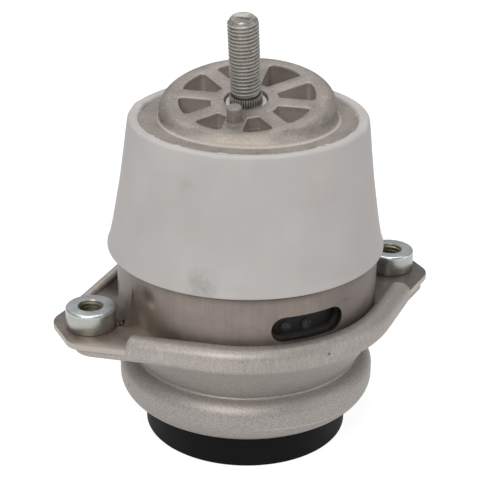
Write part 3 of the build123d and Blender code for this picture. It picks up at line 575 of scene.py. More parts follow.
# %% Bush and locating pin
bush = turned([(5.55, BUSH_FOOT, 0), (BUSH_RADIUS, BUSH_FOOT, 0), (BUSH_RADIUS, -3.6, 0),
               (8.05, COLLAR_FOOT, 0.3), (5.55, COLLAR_FOOT, 0.2)], steps=96)
bmesh.ops.transform(bush, matrix=hub_frame, verts=bush.verts[:])
bush_piece = finished(bush, "bush", ["stud_bush"])

peg = turned([(0, PIN_FOOT, 0), (PIN_RADIUS, PIN_FOOT, 0), (PIN_RADIUS, -0.98, 0), (3.7, -0.98, 0),
              (3.4, -0.75, 0.3), (3.0, -0.2, 0.6), (2.88, 5.58, 0.55), (0, 5.5, 0)], steps=64)
bmesh.ops.transform(peg, matrix=hub_frame @ Matrix.Translation((PIN_PLACE, 0, 0)), verts=peg.verts[:])
peg_piece = finished(peg, "peg", ["locating_pin"])

# %% [markdown]
# The two bosses are zinc plated bushes that carry an M10 thread. Each is a turned blank with a
# bright bevel at its edge, cut by a tap: the same thread maker as the stud's, a little longer than
# the blank, and a cone for the mouth.

# %% Threaded bosses
BOSS_X = 67.0
BOSS_RADIUS, BOSS_TOP = 9.9, 64.5
SPIGOT_RADIUS = 7.0
SPIGOT_HOLE = SPIGOT_RADIUS + 0.05
TAP_RADIUS, TAP_ROOT = 5.0, 4.25
PLATE_BOTTOM, PLATE_SPLIT, PLATE_TOP = 50.5, 53.0, 56.0


def boss(side):
    """One boss with its cut thread."""
    blank = turned([(3.6, 49.6, 0), (8.6, 49.6, 0.5), (8.6, PLATE_BOTTOM, 0),
                    (SPIGOT_RADIUS, PLATE_BOTTOM, 0), (SPIGOT_RADIUS, PLATE_TOP, 0),
                    (BOSS_RADIUS, PLATE_TOP, 0.35), (BOSS_RADIUS, BOSS_TOP, 0.95),
                    (3.6, BOSS_TOP, 0)], steps=128, segments=4)
    tap = thread_rod(TAP_RADIUS, TAP_ROOT, PITCH, 47.0, BOSS_TOP + 3, lead_in=0.0, run_out=0.01)
    mouth = rod(5.6, BOSS_TOP - 0.95, BOSS_TOP + 0.5, foot_radius=4.2, steps=96)
    bm = combined(blank, [tap, mouth], "DIFFERENCE")
    bmesh.ops.translate(bm, vec=(side * BOSS_X, 0, 0), verts=bm.verts[:])
    return bm


left_piece = finished(boss(-1), "boss_left", ["left_boss"])
right_piece = finished(boss(1), "boss_right", ["right_boss"])

# %% [markdown]
# A flange plate with ears is the tightest loop round a disc and the round ends of its ears. Convex
# Hull finds that loop: it wraps short cylinders in one skin. Faces that lie in one plane are then
# dissolved into a single face, so that a later bevel sees only the real edges.

# %% Flange plates
def eared_plate(bottom, top, discs):
    """Plate whose outline wraps discs given as (x, y, radius)."""
    bm = bmesh.new()
    for x, y, radius in discs:
        place = Matrix.Translation((x, y, (bottom + top) / 2))
        bmesh.ops.create_cone(bm, cap_ends=False, segments=128, radius1=radius, radius2=radius,
                              depth=top - bottom, matrix=place)
    verts = bm.verts[:]
    bmesh.ops.delete(bm, geom=bm.edges[:], context="EDGES_FACES")
    hull = bmesh.ops.convex_hull(bm, input=verts, use_existing_faces=False)
    loose = [g for g in hull["geom_interior"] + hull["geom_unused"] if isinstance(g, bmesh.types.BMVert)]
    bmesh.ops.delete(bm, geom=list(set(loose)), context="VERTS")
    bmesh.ops.dissolve_limit(bm, angle_limit=radians(0.5), verts=bm.verts[:], edges=bm.edges[:])
    bmesh.ops.recalc_face_normals(bm, faces=bm.faces[:])
    return bm


EAR_X, EAR_Y, EAR_ROUND = 66.5, 8.0, 10.0
UPPER_DISCS = [(0, 0, 57.4)] + [(x, y, 9.0) for x in (-70.9, 70.9) for y in (-6.5, 6.5)]
LOWER_DISCS = [(0, 0, 56.6)] + [(x, y, EAR_ROUND) for x in (-EAR_X, EAR_X) for y in (-EAR_Y, EAR_Y)]
print("discs in the upper plate:", len(UPPER_DISCS), "in the lower:", len(LOWER_DISCS))

# %% [markdown]
# Two long round-ended windows are punched through the sleeve. The bar that punches them is a box
# whose four long edges are fully rounded, so its cut has true half circles for ends. A steep web
# stiffens the corner at each ear: its outline is drawn in the XZ plane and spun through a few degrees.

# %% Window bar and webs
SLEEVE_RADIUS, SLEEVE_BORE = 52.3, 49.7
WINDOW_AZIMUTH = radians(-88.0)
WINDOW_MIDDLE = 65.9
WINDOW_LENGTH, WINDOW_HEIGHT = 30.6, 10.4
WEB_HALF_ANGLE = radians(7.2)


def window_bar(turn):
    """Round-ended bar that points outwards from the axis, at an angle from the front window."""
    bm = bmesh.new()
    size = Matrix.Diagonal((20, WINDOW_LENGTH, WINDOW_HEIGHT, 1))
    bmesh.ops.create_cube(bm, size=1.0, matrix=size)
    long_edges = [e for e in bm.edges if abs(e.verts[0].co.x - e.verts[1].co.x) > 1]
    soften(bm, long_edges, WINDOW_HEIGHT / 2 - 0.001, segments=12)
    place = (Matrix.Rotation(WINDOW_AZIMUTH + turn, 4, "Z")
             @ Matrix.Translation((50, 0, WINDOW_MIDDLE)))
    bmesh.ops.transform(bm, matrix=place, verts=bm.verts[:])
    return bm


def web(side):
    """Steep web between the sleeve and one ear, hollow on its face."""
    bm = rounded_outline([(51.0, 55.0, 0), (56.9, 55.0, 0), (56.9, PLATE_TOP, 0), (55.2, 57.6, 2.5),
                          (53.7, 63.2, 14), (SLEEVE_RADIUS, 72.6, 0), (51.0, 72.6, 0)], segments=5)
    bmesh.ops.contextual_create(bm, geom=bm.edges[:])
    turn = Matrix.Rotation(-WEB_HALF_ANGLE + (pi if side < 0 else 0), 4, "Z")
    bmesh.ops.transform(bm, matrix=turn, verts=bm.verts[:])
    bmesh.ops.spin(bm, geom=bm.faces[:], cent=(0, 0, 0), axis=(0, 0, 1), angle=2 * WEB_HALF_ANGLE,
                   steps=12, use_merge=False)
    bmesh.ops.recalc_face_normals(bm, faces=bm.faces[:])
    return bm


print("window mm:", WINDOW_LENGTH, "x", WINDOW_HEIGHT)

# %% [markdown]
# The upper housing is one deep drawn sheet, so its parts are united into one mesh: a turned sleeve,
# an eared plate for the flange, and the webs, which leave room for the bosses. The windows and the
# bosses' holes are cut last, through everything. A ball sinks the small dimple at the left web's foot.

# %% Upper housing
sleeve = turned([(SLEEVE_BORE, PLATE_SPLIT, 0), (SLEEVE_RADIUS, PLATE_SPLIT, 0), (SLEEVE_RADIUS, 80.5, 8.0),
                 (31.0, 95.4, 0), (31.0, 92.2, 0), (SLEEVE_BORE, 79.2, 5.4)], steps=192)
upper_plate = eared_plate(PLATE_SPLIT, PLATE_TOP, UPPER_DISCS)
soften(upper_plate, level_edges(upper_plate, PLATE_TOP), 0.4, segments=2)
soften(upper_plate, level_edges(upper_plate, PLATE_SPLIT), 0.6, segments=2)
upper = combined(upper_plate, [rod(SLEEVE_BORE, 52, 57, steps=192)], "DIFFERENCE")
rooms = [rod(10.0, PLATE_TOP, 73.0, side * BOSS_X) for side in (-1, 1)]
webs = [combined(web(side), [room], "DIFFERENCE") for side, room in zip((-1, 1), rooms)]
upper = combined(upper, [sleeve] + webs, "UNION")
dimple = bmesh.new()
bmesh.ops.create_icosphere(dimple, subdivisions=3, radius=1.5, matrix=Matrix.Translation((-56.4, -4.9, 57.3)))
upper = combined(upper, [window_bar(0), window_bar(pi), rod(SPIGOT_HOLE, 52, 58, -BOSS_X),
                         rod(SPIGOT_HOLE, 52, 58, BOSS_X), dimple], "DIFFERENCE")
upper_piece = finished(upper, "sleeve", ["upper_housing"])

# %% [markdown]
# The edge of the lower sheet is rolled over the upper plate into a thick bead, front and back. The
# bead is one rounded section: spun along the round part of the flange, and extruded along the
# straight parts towards the ears, where the roll gets lower.

# %% Rolled bead
TAPER, TAPER_START, TAPER_RUN = 0.15, 30, 26


def bead(side, width, radius, top, end):
    """Rolled edge along one side of the flange, as far as a distance from the middle."""
    height = top - PLATE_BOTTOM
    normal = atan2(EAR_Y, EAR_X) + acos((radius - EAR_ROUND + width / 2) / Vector((EAR_X, EAR_Y)).length)
    bm = bmesh.new()
    bmesh.ops.create_cube(bm, size=1.0, matrix=Matrix.Diagonal((width, 1, height, 1)))
    soften(bm, [e for e in bm.edges if abs(e.verts[0].co.y - e.verts[1].co.y) > 0.5],
           width * 0.456, segments=8)
    back = [f for f in bm.faces if f.calc_center_median().y < 0.49]
    bmesh.ops.delete(bm, geom=back, context="FACES")
    for vert in bm.verts:
        vert.co.y = 0
    middle = PLATE_BOTTOM + height / 2
    place = Matrix.Rotation(-pi + normal, 4, "Z") @ Matrix.Translation((radius, 0, middle))
    bmesh.ops.transform(bm, matrix=place, verts=bm.verts[:])
    bmesh.ops.spin(bm, geom=bm.faces[:], cent=(0, 0, 0), axis=(0, 0, 1),
                   angle=pi - 2 * normal, steps=72, use_merge=False)
    run = (end - radius * cos(normal)) / sin(normal)
    for x_side in (-1, 1):
        ends = [f for f in bm.faces if len(f.verts) > 8 and f.calc_center_median().x * x_side > 0]
        out = Vector((x_side * sin(normal), cos(normal), 0)) * run
        pushed = bmesh.ops.extrude_face_region(bm, geom=ends)
        moved = [g for g in pushed["geom"] if isinstance(g, bmesh.types.BMVert)]
        bmesh.ops.translate(bm, vec=out, verts=moved)
        bmesh.ops.delete(bm, geom=ends, context="FACES")
    if side > 0:
        bmesh.ops.rotate(bm, cent=(0, 0, 0), matrix=Matrix.Rotation(pi, 3, "Z"), verts=bm.verts[:])
    bmesh.ops.recalc_face_normals(bm, faces=bm.faces[:])
    caps = [e for e in bm.edges if abs(e.calc_face_angle(0)) > radians(60)]
    soften(bm, caps, 1.2)
    for vert in bm.verts:
        taper = min(1.0, max(0.0, (abs(vert.co.x) - TAPER_START) / TAPER_RUN)) ** 2
        vert.co.z = PLATE_BOTTOM + (vert.co.z - PLATE_BOTTOM) * (1 - TAPER * taper)
    print("bead:", len(bm.faces), "faces, top", round(max(v.co.z for v in bm.verts), 2))
    return bm


# %% [markdown]
# The lower housing is a cup of one wall: a cone, a waist, a bulge and a lip turned in over the cap.
# The flange plate and both beads are united with it, and the room for the upper plate is cut out, so
# the beads hold that plate without touching it. The rear bead is a narrow one.

# %% Lower housing
def lower_housing():
    """Cup, flange plate and both beads in one mesh."""
    cup = turned([
        (53.4, PLATE_SPLIT, 0), (56.8, PLATE_SPLIT, 0), (56.8, PLATE_BOTTOM, 0),
        (56.2, PLATE_BOTTOM, 1.2), (46.75, 34.95, 1.2),
        (45.3, 33.7, 1.4), (52.0, 31.5, 6.0), (52.0, 17.5, 8.0), (41.8, 14.6, 0.5), (41.8, 17.1, 0),
        (49.0, 17.6, 5.2), (49.0, 30.5, 5.0), (43.2, 33.2, 0.5), (43.2, 36.2, 0), (44.6, 36.2, 0),
    ], steps=192, segments=10)
    bottom, top = PLATE_BOTTOM + 0.02, PLATE_SPLIT - 0.02
    plate = eared_plate(bottom, top, LOWER_DISCS)
    soften(plate, level_edges(plate, bottom) + level_edges(plate, top), 0.6, segments=2)
    plate = combined(plate, [rod(55.0, 50, 54, steps=192)], "DIFFERENCE")
    front = bead(-1, width=9.2, radius=56.6, top=61.5, end=59.6)
    rear = bead(1, width=4.2, radius=58.0, top=58.9, end=63.5)
    bm = combined(cup, [plate, front, rear], "UNION")
    room = eared_plate(PLATE_SPLIT - 0.01, PLATE_TOP + 0.05, [(x, y, r + 0.15) for x, y, r in UPPER_DISCS])
    bores = [rod(SPIGOT_HOLE, 49, 54, -BOSS_X), rod(SPIGOT_HOLE, 49, 54, BOSS_X)]
    sleeve_room = rod(SLEEVE_RADIUS + 0.15, PLATE_SPLIT, 62.0, steps=192)
    return combined(bm, [room, sleeve_room] + bores, "DIFFERENCE")


lower_piece = finished(lower_housing(), "cup", ["lower_housing"])

# %% [markdown]
# The bottom cap is a moulded plastic cover. Only its foot shows under the lip of the cup. A shallow
# recess and a vent hole are on its underside.

# %% Bottom cap
cap = turned([
    (0, 0.8, 0), (30, 0.8, 0.3), (30.8, 0, 0.3), (41.5, 0, 0.9), (41.5, 17.1, 0), (43.7, 17.1, 0),
    (43.7, 19.3, 0.4), (41.5, 20.4, 0), (41.5, 31, 0.4), (39, 31, 0.4), (39, 2.5, 1.5), (0, 2.5, 0),
], steps=192)
cap = combined(cap, [rod(1.5, -1, 4, steps=32)], "DIFFERENCE")
cap_piece = finished(cap, "cap", ["bottom_cap"])

# %% [markdown]
# A finish is a small network of nodes. Drawn by hand in the editor it would be quick to make and hard
# to read, so it is written as sums and products of wires: each operator on a wire adds one Math node.

# %% Wires
class Wire:
    """An output socket; arithmetic on it adds Math nodes."""

    def __init__(self, finish, socket):
        self.finish, self.socket = finish, socket

    def maths(self, operation, *values):
        return self.finish.node("ShaderNodeMath", {"operation": operation}, dict(enumerate(values)))

    def __add__(self, other):
        return self.maths("ADD", self, other)

    def __sub__(self, other):
        return self.maths("SUBTRACT", self, other)

    def __rsub__(self, other):
        return self.maths("SUBTRACT", other, self)

    def __mul__(self, other):
        return self.maths("MULTIPLY", self, other)

    __radd__ = __add__
    __rmul__ = __mul__


def tone(red, green, blue):
    """Colour as it is read on a screen, from 0 to 255, turned into the linear value of a shader."""
    linear = [c / 12.92 if c <= 0.04045 else ((c + 0.055) / 1.055) ** 2.4
              for c in (red / 255, green / 255, blue / 255)]
    return (*linear, 1.0)


print("mid grey as a shader value:", round(tone(128, 128, 128)[0], 3))

# %% [markdown]
# Every material of the mount has one Principled shader. Any node but a Math node comes from one
# method, which takes the node's type, its settings and what goes into its sockets. Patterns are
# noise, steps between two values, and mixes of two colours. Their sizes are in millimetres.

# %% Patterns
class Patterns:
    """A material with one Principled shader, and the patterns that feed it."""

    def __init__(self, name, metallic=0.0, **constants):
        self.material = bpy.data.materials.new(name)
        self.material.use_nodes = True
        self.tree = self.material.node_tree
        self.shader = self.tree.nodes["Principled BSDF"]
        self.shader.inputs["Metallic"].default_value = metallic
        for socket, value in constants.items():
            self.shader.inputs[socket.replace("_", " ")].default_value = value
        self.place = self.node("ShaderNodeTexCoord", {}, {}, "Object")

    def node(self, kind, settings, inputs, output=0):
        made = self.tree.nodes.new(kind)
        for key, value in settings.items():
            setattr(made, key, value)
        for key, value in inputs.items():
            self.feed(made.inputs[key], value)
        return Wire(self, made.outputs[output])

    def feed(self, socket, value):
        if isinstance(value, Wire):
            self.tree.links.new(value.socket, socket)
        else:
            socket.default_value = value

    def spot(self, size, stretch=(1, 1, 1), vector=None):
        """Coordinates in which one unit is a size in millimetres, stretched along the axes."""
        scale = tuple(1 / (MM * size * s) for s in stretch)
        return self.node("ShaderNodeMapping", {}, {"Vector": vector or self.place, "Scale": scale})

    def noise(self, size, detail=3.0, roughness=0.55, stretch=(1, 1, 1), vector=None):
        """Random pattern whose clouds are about as large as a size."""
        return self.node("ShaderNodeTexNoise", {}, {
            "Vector": self.spot(size, stretch, vector), "Scale": 1.0, "Detail": detail,
            "Roughness": roughness, "Distortion": 0.0})

    def between(self, value, low, high, bottom=0.0, top=1.0):
        """Straight step from bottom to top as a value goes from low to high."""
        return self.node("ShaderNodeMapRange", {"clamp": True}, {
            "Value": value, "From Min": low, "From Max": high, "To Min": bottom, "To Max": top})

    def mix(self, factor, first, second):
        """First colour where the factor is 0, second colour where it is 1."""
        return self.node("ShaderNodeMix", {"data_type": "RGBA"}, {0: factor, 6: first, 7: second}, 2)

    def bump(self, height, depth):
        """Normal of a surface raised by up to a depth in millimetres."""
        return self.node("ShaderNodeBump", {}, {"Height": height, "Strength": 1.0, "Distance": depth * MM})


print("a pattern of 0.5 mm repeats", round(1 / (0.5 * MM)), "times in a metre")

# %% [markdown]
# Wear on the mount sits at places: near an ear, on a rim, down one side. So a finish also needs the
# coordinates of the piece, distances to a point or an axis, and two other ways to see the surface:
# unrolled, for streaks on round sheet metal, and in the leaning frame, for the hub and the stud.
# Limits along a coordinate are in millimetres too.

# %% Finishes
class Finish(Patterns):
    """A finish of the mount, with the places where it changes."""

    def xyz(self, vector=None):
        """The three coordinates of a place, by default on the piece itself."""
        made = self.tree.nodes.new("ShaderNodeSeparateXYZ")
        self.feed(made.inputs[0], vector or self.place)
        return [Wire(self, made.outputs[k]) for k in range(3)]

    def along(self, value, low, high, bottom=0.0, top=1.0):
        """Straight step along a coordinate, with its limits in millimetres."""
        return self.between(value, low * MM, high * MM, bottom, top)

    def from_axis(self, x, y):
        """Distance from an axis where both coordinates are zero."""
        return x.maths("SQRT", x * x + y * y)

    def near(self, spot, inner, outer, stretch=(1, 1, 1)):
        """One close to a point given in millimetres, fading to nothing at the outer distance."""
        moved = self.node("ShaderNodeMapping", {}, {
            "Vector": self.place, "Scale": tuple(1 / (MM * s) for s in stretch),
            "Location": tuple(-c / s for c, s in zip(spot, stretch))})
        distance = self.node("ShaderNodeVectorMath", {"operation": "LENGTH"}, {0: moved}, "Value")
        return self.between(distance, inner, outer, 1.0, 0.0)

    def unrolled(self, radius):
        """Coordinates laid flat: length round the axis, height, and distance from the axis."""
        x, y, z = self.xyz()
        away = self.from_axis(x, y)
        made = self.tree.nodes.new("ShaderNodeCombineXYZ")
        for socket, value in zip(made.inputs, (y.maths("ARCTAN2", y, x) * (radius * MM), z, away)):
            self.feed(socket, value)
        return Wire(self, made.outputs[0])

    def leaning(self):
        """Coordinates in the leaning frame of the hub."""
        return self.node("ShaderNodeMapping", {"vector_type": "TEXTURE"}, {
            "Vector": self.place, "Location": tuple(c * MM for c in FACE_ORIGIN),
            "Rotation": tuple(hub_frame.to_euler())})

    def wear(self, colour, roughness, normal):
        """Feed the three sockets that change over the surface."""
        for socket, value in (("Base Color", colour), ("Roughness", roughness), ("Normal", normal)):
            self.feed(self.shader.inputs[socket], value)

    def put_on(self, *pieces):
        """Give the finish to pieces as their only material."""
        for piece in pieces:
            piece.data.materials.clear()
            piece.data.materials.append(self.material)
        print(self.material.name, "on", ", ".join(piece.name for piece in pieces))


print("ways to place a mark:", ", ".join(m for m in vars(Finish) if m not in vars(Patterns) and m[0] != "_"))

# %% [markdown]
# Cast aluminium is grey, a little warm, and finely grained, with a sandy skin. Its mould leaves soft
# patches of tone. The low front wall of the dome is painted paler, as a painted highlight. Rims of
# pockets and the dome's foot catch the light, so thin bands there are painted paler as painted
# highlights. They are found by depth below the leaning face and by height. The small peg is cast with the
# same skin.

# %% Cast aluminium
def cast_aluminium():
    finish = Finish("cast aluminium", metallic=0.35)
    x, y, z = finish.xyz()
    patches = finish.noise(11, detail=4)
    sand = finish.noise(0.75, detail=4, roughness=0.7)
    grain = finish.noise(0.42, detail=3, roughness=0.65)
    pits = finish.between(finish.noise(1.1, detail=3), 0.66, 0.74)
    colour = finish.mix(finish.between(patches, 0.35, 0.65), tone(132, 124, 117), tone(152, 144, 137))
    # painted highlight: the low front wall of the dome is painted paler
    front = finish.along(y * 0.83 + x * 0.56, -31, -26, 1.0, 0.0) * finish.along(z, FLANGE_TOP, 133)
    colour = finish.mix(front * 0.75, colour, tone(186, 174, 162))
    colour = finish.mix(finish.between(sand, 0.52, 0.70) * 0.35, colour, tone(204, 193, 181))
    colour = finish.mix(finish.between(sand, 0.30, 0.46, 0.5, 0.0), colour, tone(100, 93, 87))
    colour = finish.mix(pits * 0.5, colour, tone(84, 78, 72))
    across, along, depth = finish.xyz(finish.leaning())
    inside = finish.along(finish.from_axis(across, along), 28.2, 28.5, 1.0, 0.0)
    rim = finish.along(depth, -2.0, -1.4) * finish.along(depth, -1.1, -1.02, 1.0, 0.0)
    colour = finish.mix(rim * inside * 0.6, colour, tone(204, 194, 182))
    deep = inside * finish.along(depth, -4.0, -1.8, 0.5, 0.0)
    colour = finish.mix(deep, colour, tone(182, 168, 158))
    foot = finish.along(z, 132.24, 132.3) * finish.along(z, 132.4, 132.7, 1.0, 0.0)
    colour = finish.mix(foot * 0.5, colour, tone(214, 205, 195))
    height = grain * 0.8 + sand * 0.9 - pits * 0.8
    finish.wear(colour, finish.between(grain, 0.3, 0.7, 0.46, 0.6), finish.bump(height, 0.09))
    finish.put_on(hub_piece, peg_piece)


cast_aluminium()

# %% [markdown]
# Silicone is smooth and pale, with faint clouds in it and a fine texture from its mould. Oily hands
# have left two grey smudges on its skirt and one pinkish one near the top.

# %% Boot silicone
def boot_silicone():
    finish = Finish("boot silicone")
    clouds = finish.noise(24, detail=4, roughness=0.5)
    marks = finish.noise(5, detail=4, roughness=0.65)
    speckle = finish.between(finish.noise(1.2, detail=2), 0.70, 0.78)
    colour = finish.mix(finish.between(clouds, 0.3, 0.7), tone(176, 171, 167), tone(186, 181, 177))
    for spot, size, strength, shade in (
            ((-36.0, -38.0, 84.5), 8.0, 0.85, tone(128, 124, 120)),
            ((-40.5, -30.0, 121.0), 5.5, 0.5, tone(146, 140, 136)),
            ((8.0, -48.5, 124.0), 10.0, 0.4, tone(204, 178, 174))):
        cloud = finish.near(spot, size * 0.1, size) * finish.between(marks, 0.35, 0.65)
        colour = finish.mix(cloud * strength, colour, shade)
    colour = finish.mix(speckle * 0.2, colour, tone(150, 146, 142))
    texture = finish.noise(0.35, detail=2)
    finish.wear(colour, finish.between(clouds, 0.3, 0.7, 0.46, 0.54),
                finish.bump(texture * 0.3 + clouds, 0.04))
    finish.put_on(boot_piece)


boot_silicone()

# %% [markdown]
# The sleeve is drawn steel: warm grey, with faint upright streaks where it slid through the tool.
# The surface is first unrolled, and the streaks are noise stretched along its height. Near the left
# ear there are a dark mark, two brown patches and a pale spot; a painted highlight lies on the lit
# fillet at the web's foot, painted shade fills the dimple, a painted contact shadow runs along the
# sleeve's foot, and painted shade darkens the plate between the rear bead and the sleeve. A scratch
# crosses the right side above the window, and the right side is painted darker as painted shade. The
# cut edge of the flange is pale, and the window walls and everything inside the sleeve are painted
# near black as painted shade.

# %% Drawn steel
def drawn_steel():
    finish = Finish("drawn steel", metallic=0.7)
    x, y, z = finish.xyz()
    flat = finish.unrolled(SLEEVE_RADIUS)
    streaks = finish.noise(1.0, detail=3, roughness=0.6, stretch=(1.1, 26, 3), vector=flat)
    blotches = finish.noise(13, detail=5, roughness=0.62)
    grain = finish.noise(0.45, detail=2)
    colour = finish.mix(finish.between(blotches, 0.3, 0.7), tone(128, 117, 109), tone(150, 139, 131))
    colour = finish.mix(finish.between(streaks, 0.45, 0.80) * 0.15, colour, tone(170, 160, 151))
    colour = finish.mix(finish.between(streaks, 0.20, 0.50, 0.15, 0.0), colour, tone(100, 91, 84))
    for spot, inner, outer, stretch, strength, shade in (
            ((-49.6, -16.7, 72.9), 0.3, 1.0, (4.5, 4.5, 4), 0.75, tone(74, 66, 60)),
            ((-48.5, -20.0, 66.0), 0.3, 1.0, (6, 8, 9), 0.35, tone(112, 96, 78)),
            # painted highlight on the lit fillet at the foot of the left web
            ((-50.5, -13.0, 60.5), 0.3, 1.0, (5, 4, 5), 0.45, tone(196, 184, 168)),
            ((-48.9, -18.6, 68.9), 0.3, 1.0, (2.4, 2.4, 2.2), 0.6, tone(180, 162, 142)),
            # painted shade inside the dimple
            ((-56.2, -4.8, 56.9), 0.9, 1.0, (1.7, 1.7, 1.7), 0.9, tone(54, 46, 43)),
            # painted contact shadow along the sleeve's foot
            ((-44.5, -28.4, 56.4), 0.5, 1.0, (9, 7, 0.9), 0.85, tone(44, 39, 36)),
            ((-52.0, -14.5, 56.0), 0.2, 1.0, (7, 8, 2.0), 0.5, tone(206, 192, 174)),
            # painted shade on the plate between the rear bead and the sleeve
            ((-42.0, 30.0, 56.0), 0.5, 1.0, (14, 14, 2.5), 0.85, tone(40, 37, 35)),
            ((18.6, -48.9, 72.0), 0.4, 1.0, (4.2, 2.0, 0.35), 0.7, tone(84, 76, 70)),
            ((15.0, -50.2, 71.4), 0.4, 1.0, (3.2, 1.6, 0.25), 0.6, tone(92, 84, 78))):
        mark = finish.near(spot, inner, outer, stretch) * finish.between(grain, 0.2, 0.5, 0.7, 1.0)
        colour = finish.mix(mark * strength, colour, shade)
    # painted shade: the right side of the sleeve is painted darker
    painted_right_shade = finish.along(x * 0.766 - y * 0.643, 33, 46)
    colour = finish.mix(painted_right_shade * 0.5, colour, tone(96, 89, 86))
    away = finish.from_axis(x, y)
    edge = finish.along(z, PLATE_SPLIT, 53.1) * finish.along(z, 55.6, 55.9, 1.0, 0.0)
    colour = finish.mix(edge * finish.along(away, 56.8, 57.2) * 0.65, colour, tone(206, 196, 186))
    # painted shade: the window walls and everything inside the sleeve are painted near black
    painted_inner_shade = finish.along(away, 51.4, 52.0, 1.0, 0.0)
    colour = finish.mix(painted_inner_shade * 0.9, colour, tone(30, 28, 27))
    rough = finish.between(blotches, 0.3, 0.7, 0.36, 0.48)
    finish.wear(colour, rough, finish.bump(streaks * 0.4 + grain * 0.4, 0.03))
    finish.put_on(upper_piece)


drawn_steel()

# %% [markdown]
# The cup and its rolled bead were blasted clean after forming, which leaves a pale fine speckle.
# On the bead the speckle is drawn out across the roll, because the sheet was stretched there. A
# thin line is scored round the front of the bulge, two dark nicks sit on its left side, and one on
# the bead.

# %% Blasted steel
def blasted_steel():
    finish = Finish("blasted steel", metallic=0.55)
    x, y, z = finish.xyz()
    flat = finish.unrolled(56.6)
    speckle = finish.noise(0.55, detail=3, roughness=0.7)
    patches = finish.noise(15, detail=4)
    across = finish.noise(1.0, detail=3, stretch=(0.7, 4, 4), vector=flat)
    rolled = finish.along(z, 50, 52)
    bright = finish.between(speckle, 0.30, 0.72) * (1 - rolled * 0.2)
    colour = finish.mix(bright, tone(136, 129, 124), tone(194, 187, 181))
    colour = finish.mix(rolled * finish.between(across, 0.35, 0.7) * 0.35, colour, tone(204, 195, 188))
    # painted highlight: the left end of the bead is painted paler, broken by the speckle
    painted_left_highlight = rolled * finish.along(x, -36, -26, 0.3, 0.0)
    colour = finish.mix(painted_left_highlight * bright, colour, tone(240, 230, 222))
    colour = finish.mix(finish.between(patches, 0.3, 0.7) * 0.3, colour, tone(158, 149, 142))
    colour = finish.mix(finish.between(speckle, 0.22, 0.38, 0.35, 0.0), colour, tone(112, 105, 99))
    for spot, size, strength in (((5.8, -61.0, 57.2), (0.9, 2, 0.9), 0.8),
                                 ((-50.5, 0.0, 25.6), (6, 0.8, 1.7), 0.7),
                                 ((-49.5, -1.0, 18.4), (6, 0.7, 1.2), 0.7)):
        colour = finish.mix(finish.near(spot, 0.3, 1.0, size) * strength, colour, tone(70, 66, 62))
    level = z + x * 0.05
    scored = finish.along(level, 22.1, 22.2) * finish.along(level, 22.4, 22.5, 1.0, 0.0)
    scored = scored * finish.along(x, -20, -12) * finish.along(y, -10, 0, 1.0, 0.0)
    colour = finish.mix(scored * 0.5, colour, tone(222, 214, 208))
    height = speckle * 0.9 + patches * 0.3 + rolled * across * 0.15 - scored * 0.4
    finish.wear(colour, finish.between(speckle, 0.3, 0.7, 0.40, 0.56), finish.bump(height, 0.06))
    finish.put_on(lower_piece)


blasted_steel()

# %% [markdown]
# Zinc on the bosses is bluish and satin. Their walls are painted greyer and darker than the top, as
# painted shade. The walls turn warmer and darker towards the foot, and the zinc turns a little yellow
# inside the thread. Both bosses share one finish: the sign of x is dropped, so one distance from a
# boss's axis serves the two.

# %% Bright zinc on the bosses
def bright_zinc():
    finish = Finish("bright zinc", metallic=0.9)
    clouds = finish.noise(5, detail=4)
    fine = finish.noise(0.6, detail=3)
    colour = finish.mix(finish.between(clouds, 0.3, 0.7), tone(196, 202, 203), tone(216, 219, 216))
    x, y, z = finish.xyz()
    away = finish.from_axis(x.maths("ABSOLUTE", x) - BOSS_X * MM, y)
    wall = finish.along(away, 9.3, 9.7) * finish.along(z, 63.0, 63.8, 1.0, 0.0)
    # painted shade: the side wall is painted greyer and darker than the top
    colour = finish.mix(wall * 0.85, colour, tone(178, 177, 170))
    colour = finish.mix(wall * finish.along(z, PLATE_TOP, 60.0, 0.6, 0.0), colour, tone(150, 138, 116))
    colour = finish.mix(finish.along(away, 4.7, 5.2, 1.0, 0.0), colour, tone(136, 130, 104))
    colour = finish.mix(finish.between(fine, 0.60, 0.72) * 0.3, colour, tone(228, 230, 228))
    colour = finish.mix(finish.between(fine, 0.26, 0.40, 0.25, 0.0), colour, tone(150, 152, 150))
    finish.wear(colour, finish.between(clouds, 0.3, 0.7, 0.26, 0.36), finish.bump(fine, 0.012))
    finish.put_on(left_piece, right_piece)


bright_zinc()

# %% [markdown]
# The stud has a dull olive zinc flake instead, with dark pits where it has been handled. Its crests
# are painted paler as a painted highlight, while its grooves keep the darker base, which is read from
# the distance to its axis in the leaning frame. The knurled collar gets painted shade between its
# teeth and a painted shadow at its foot.

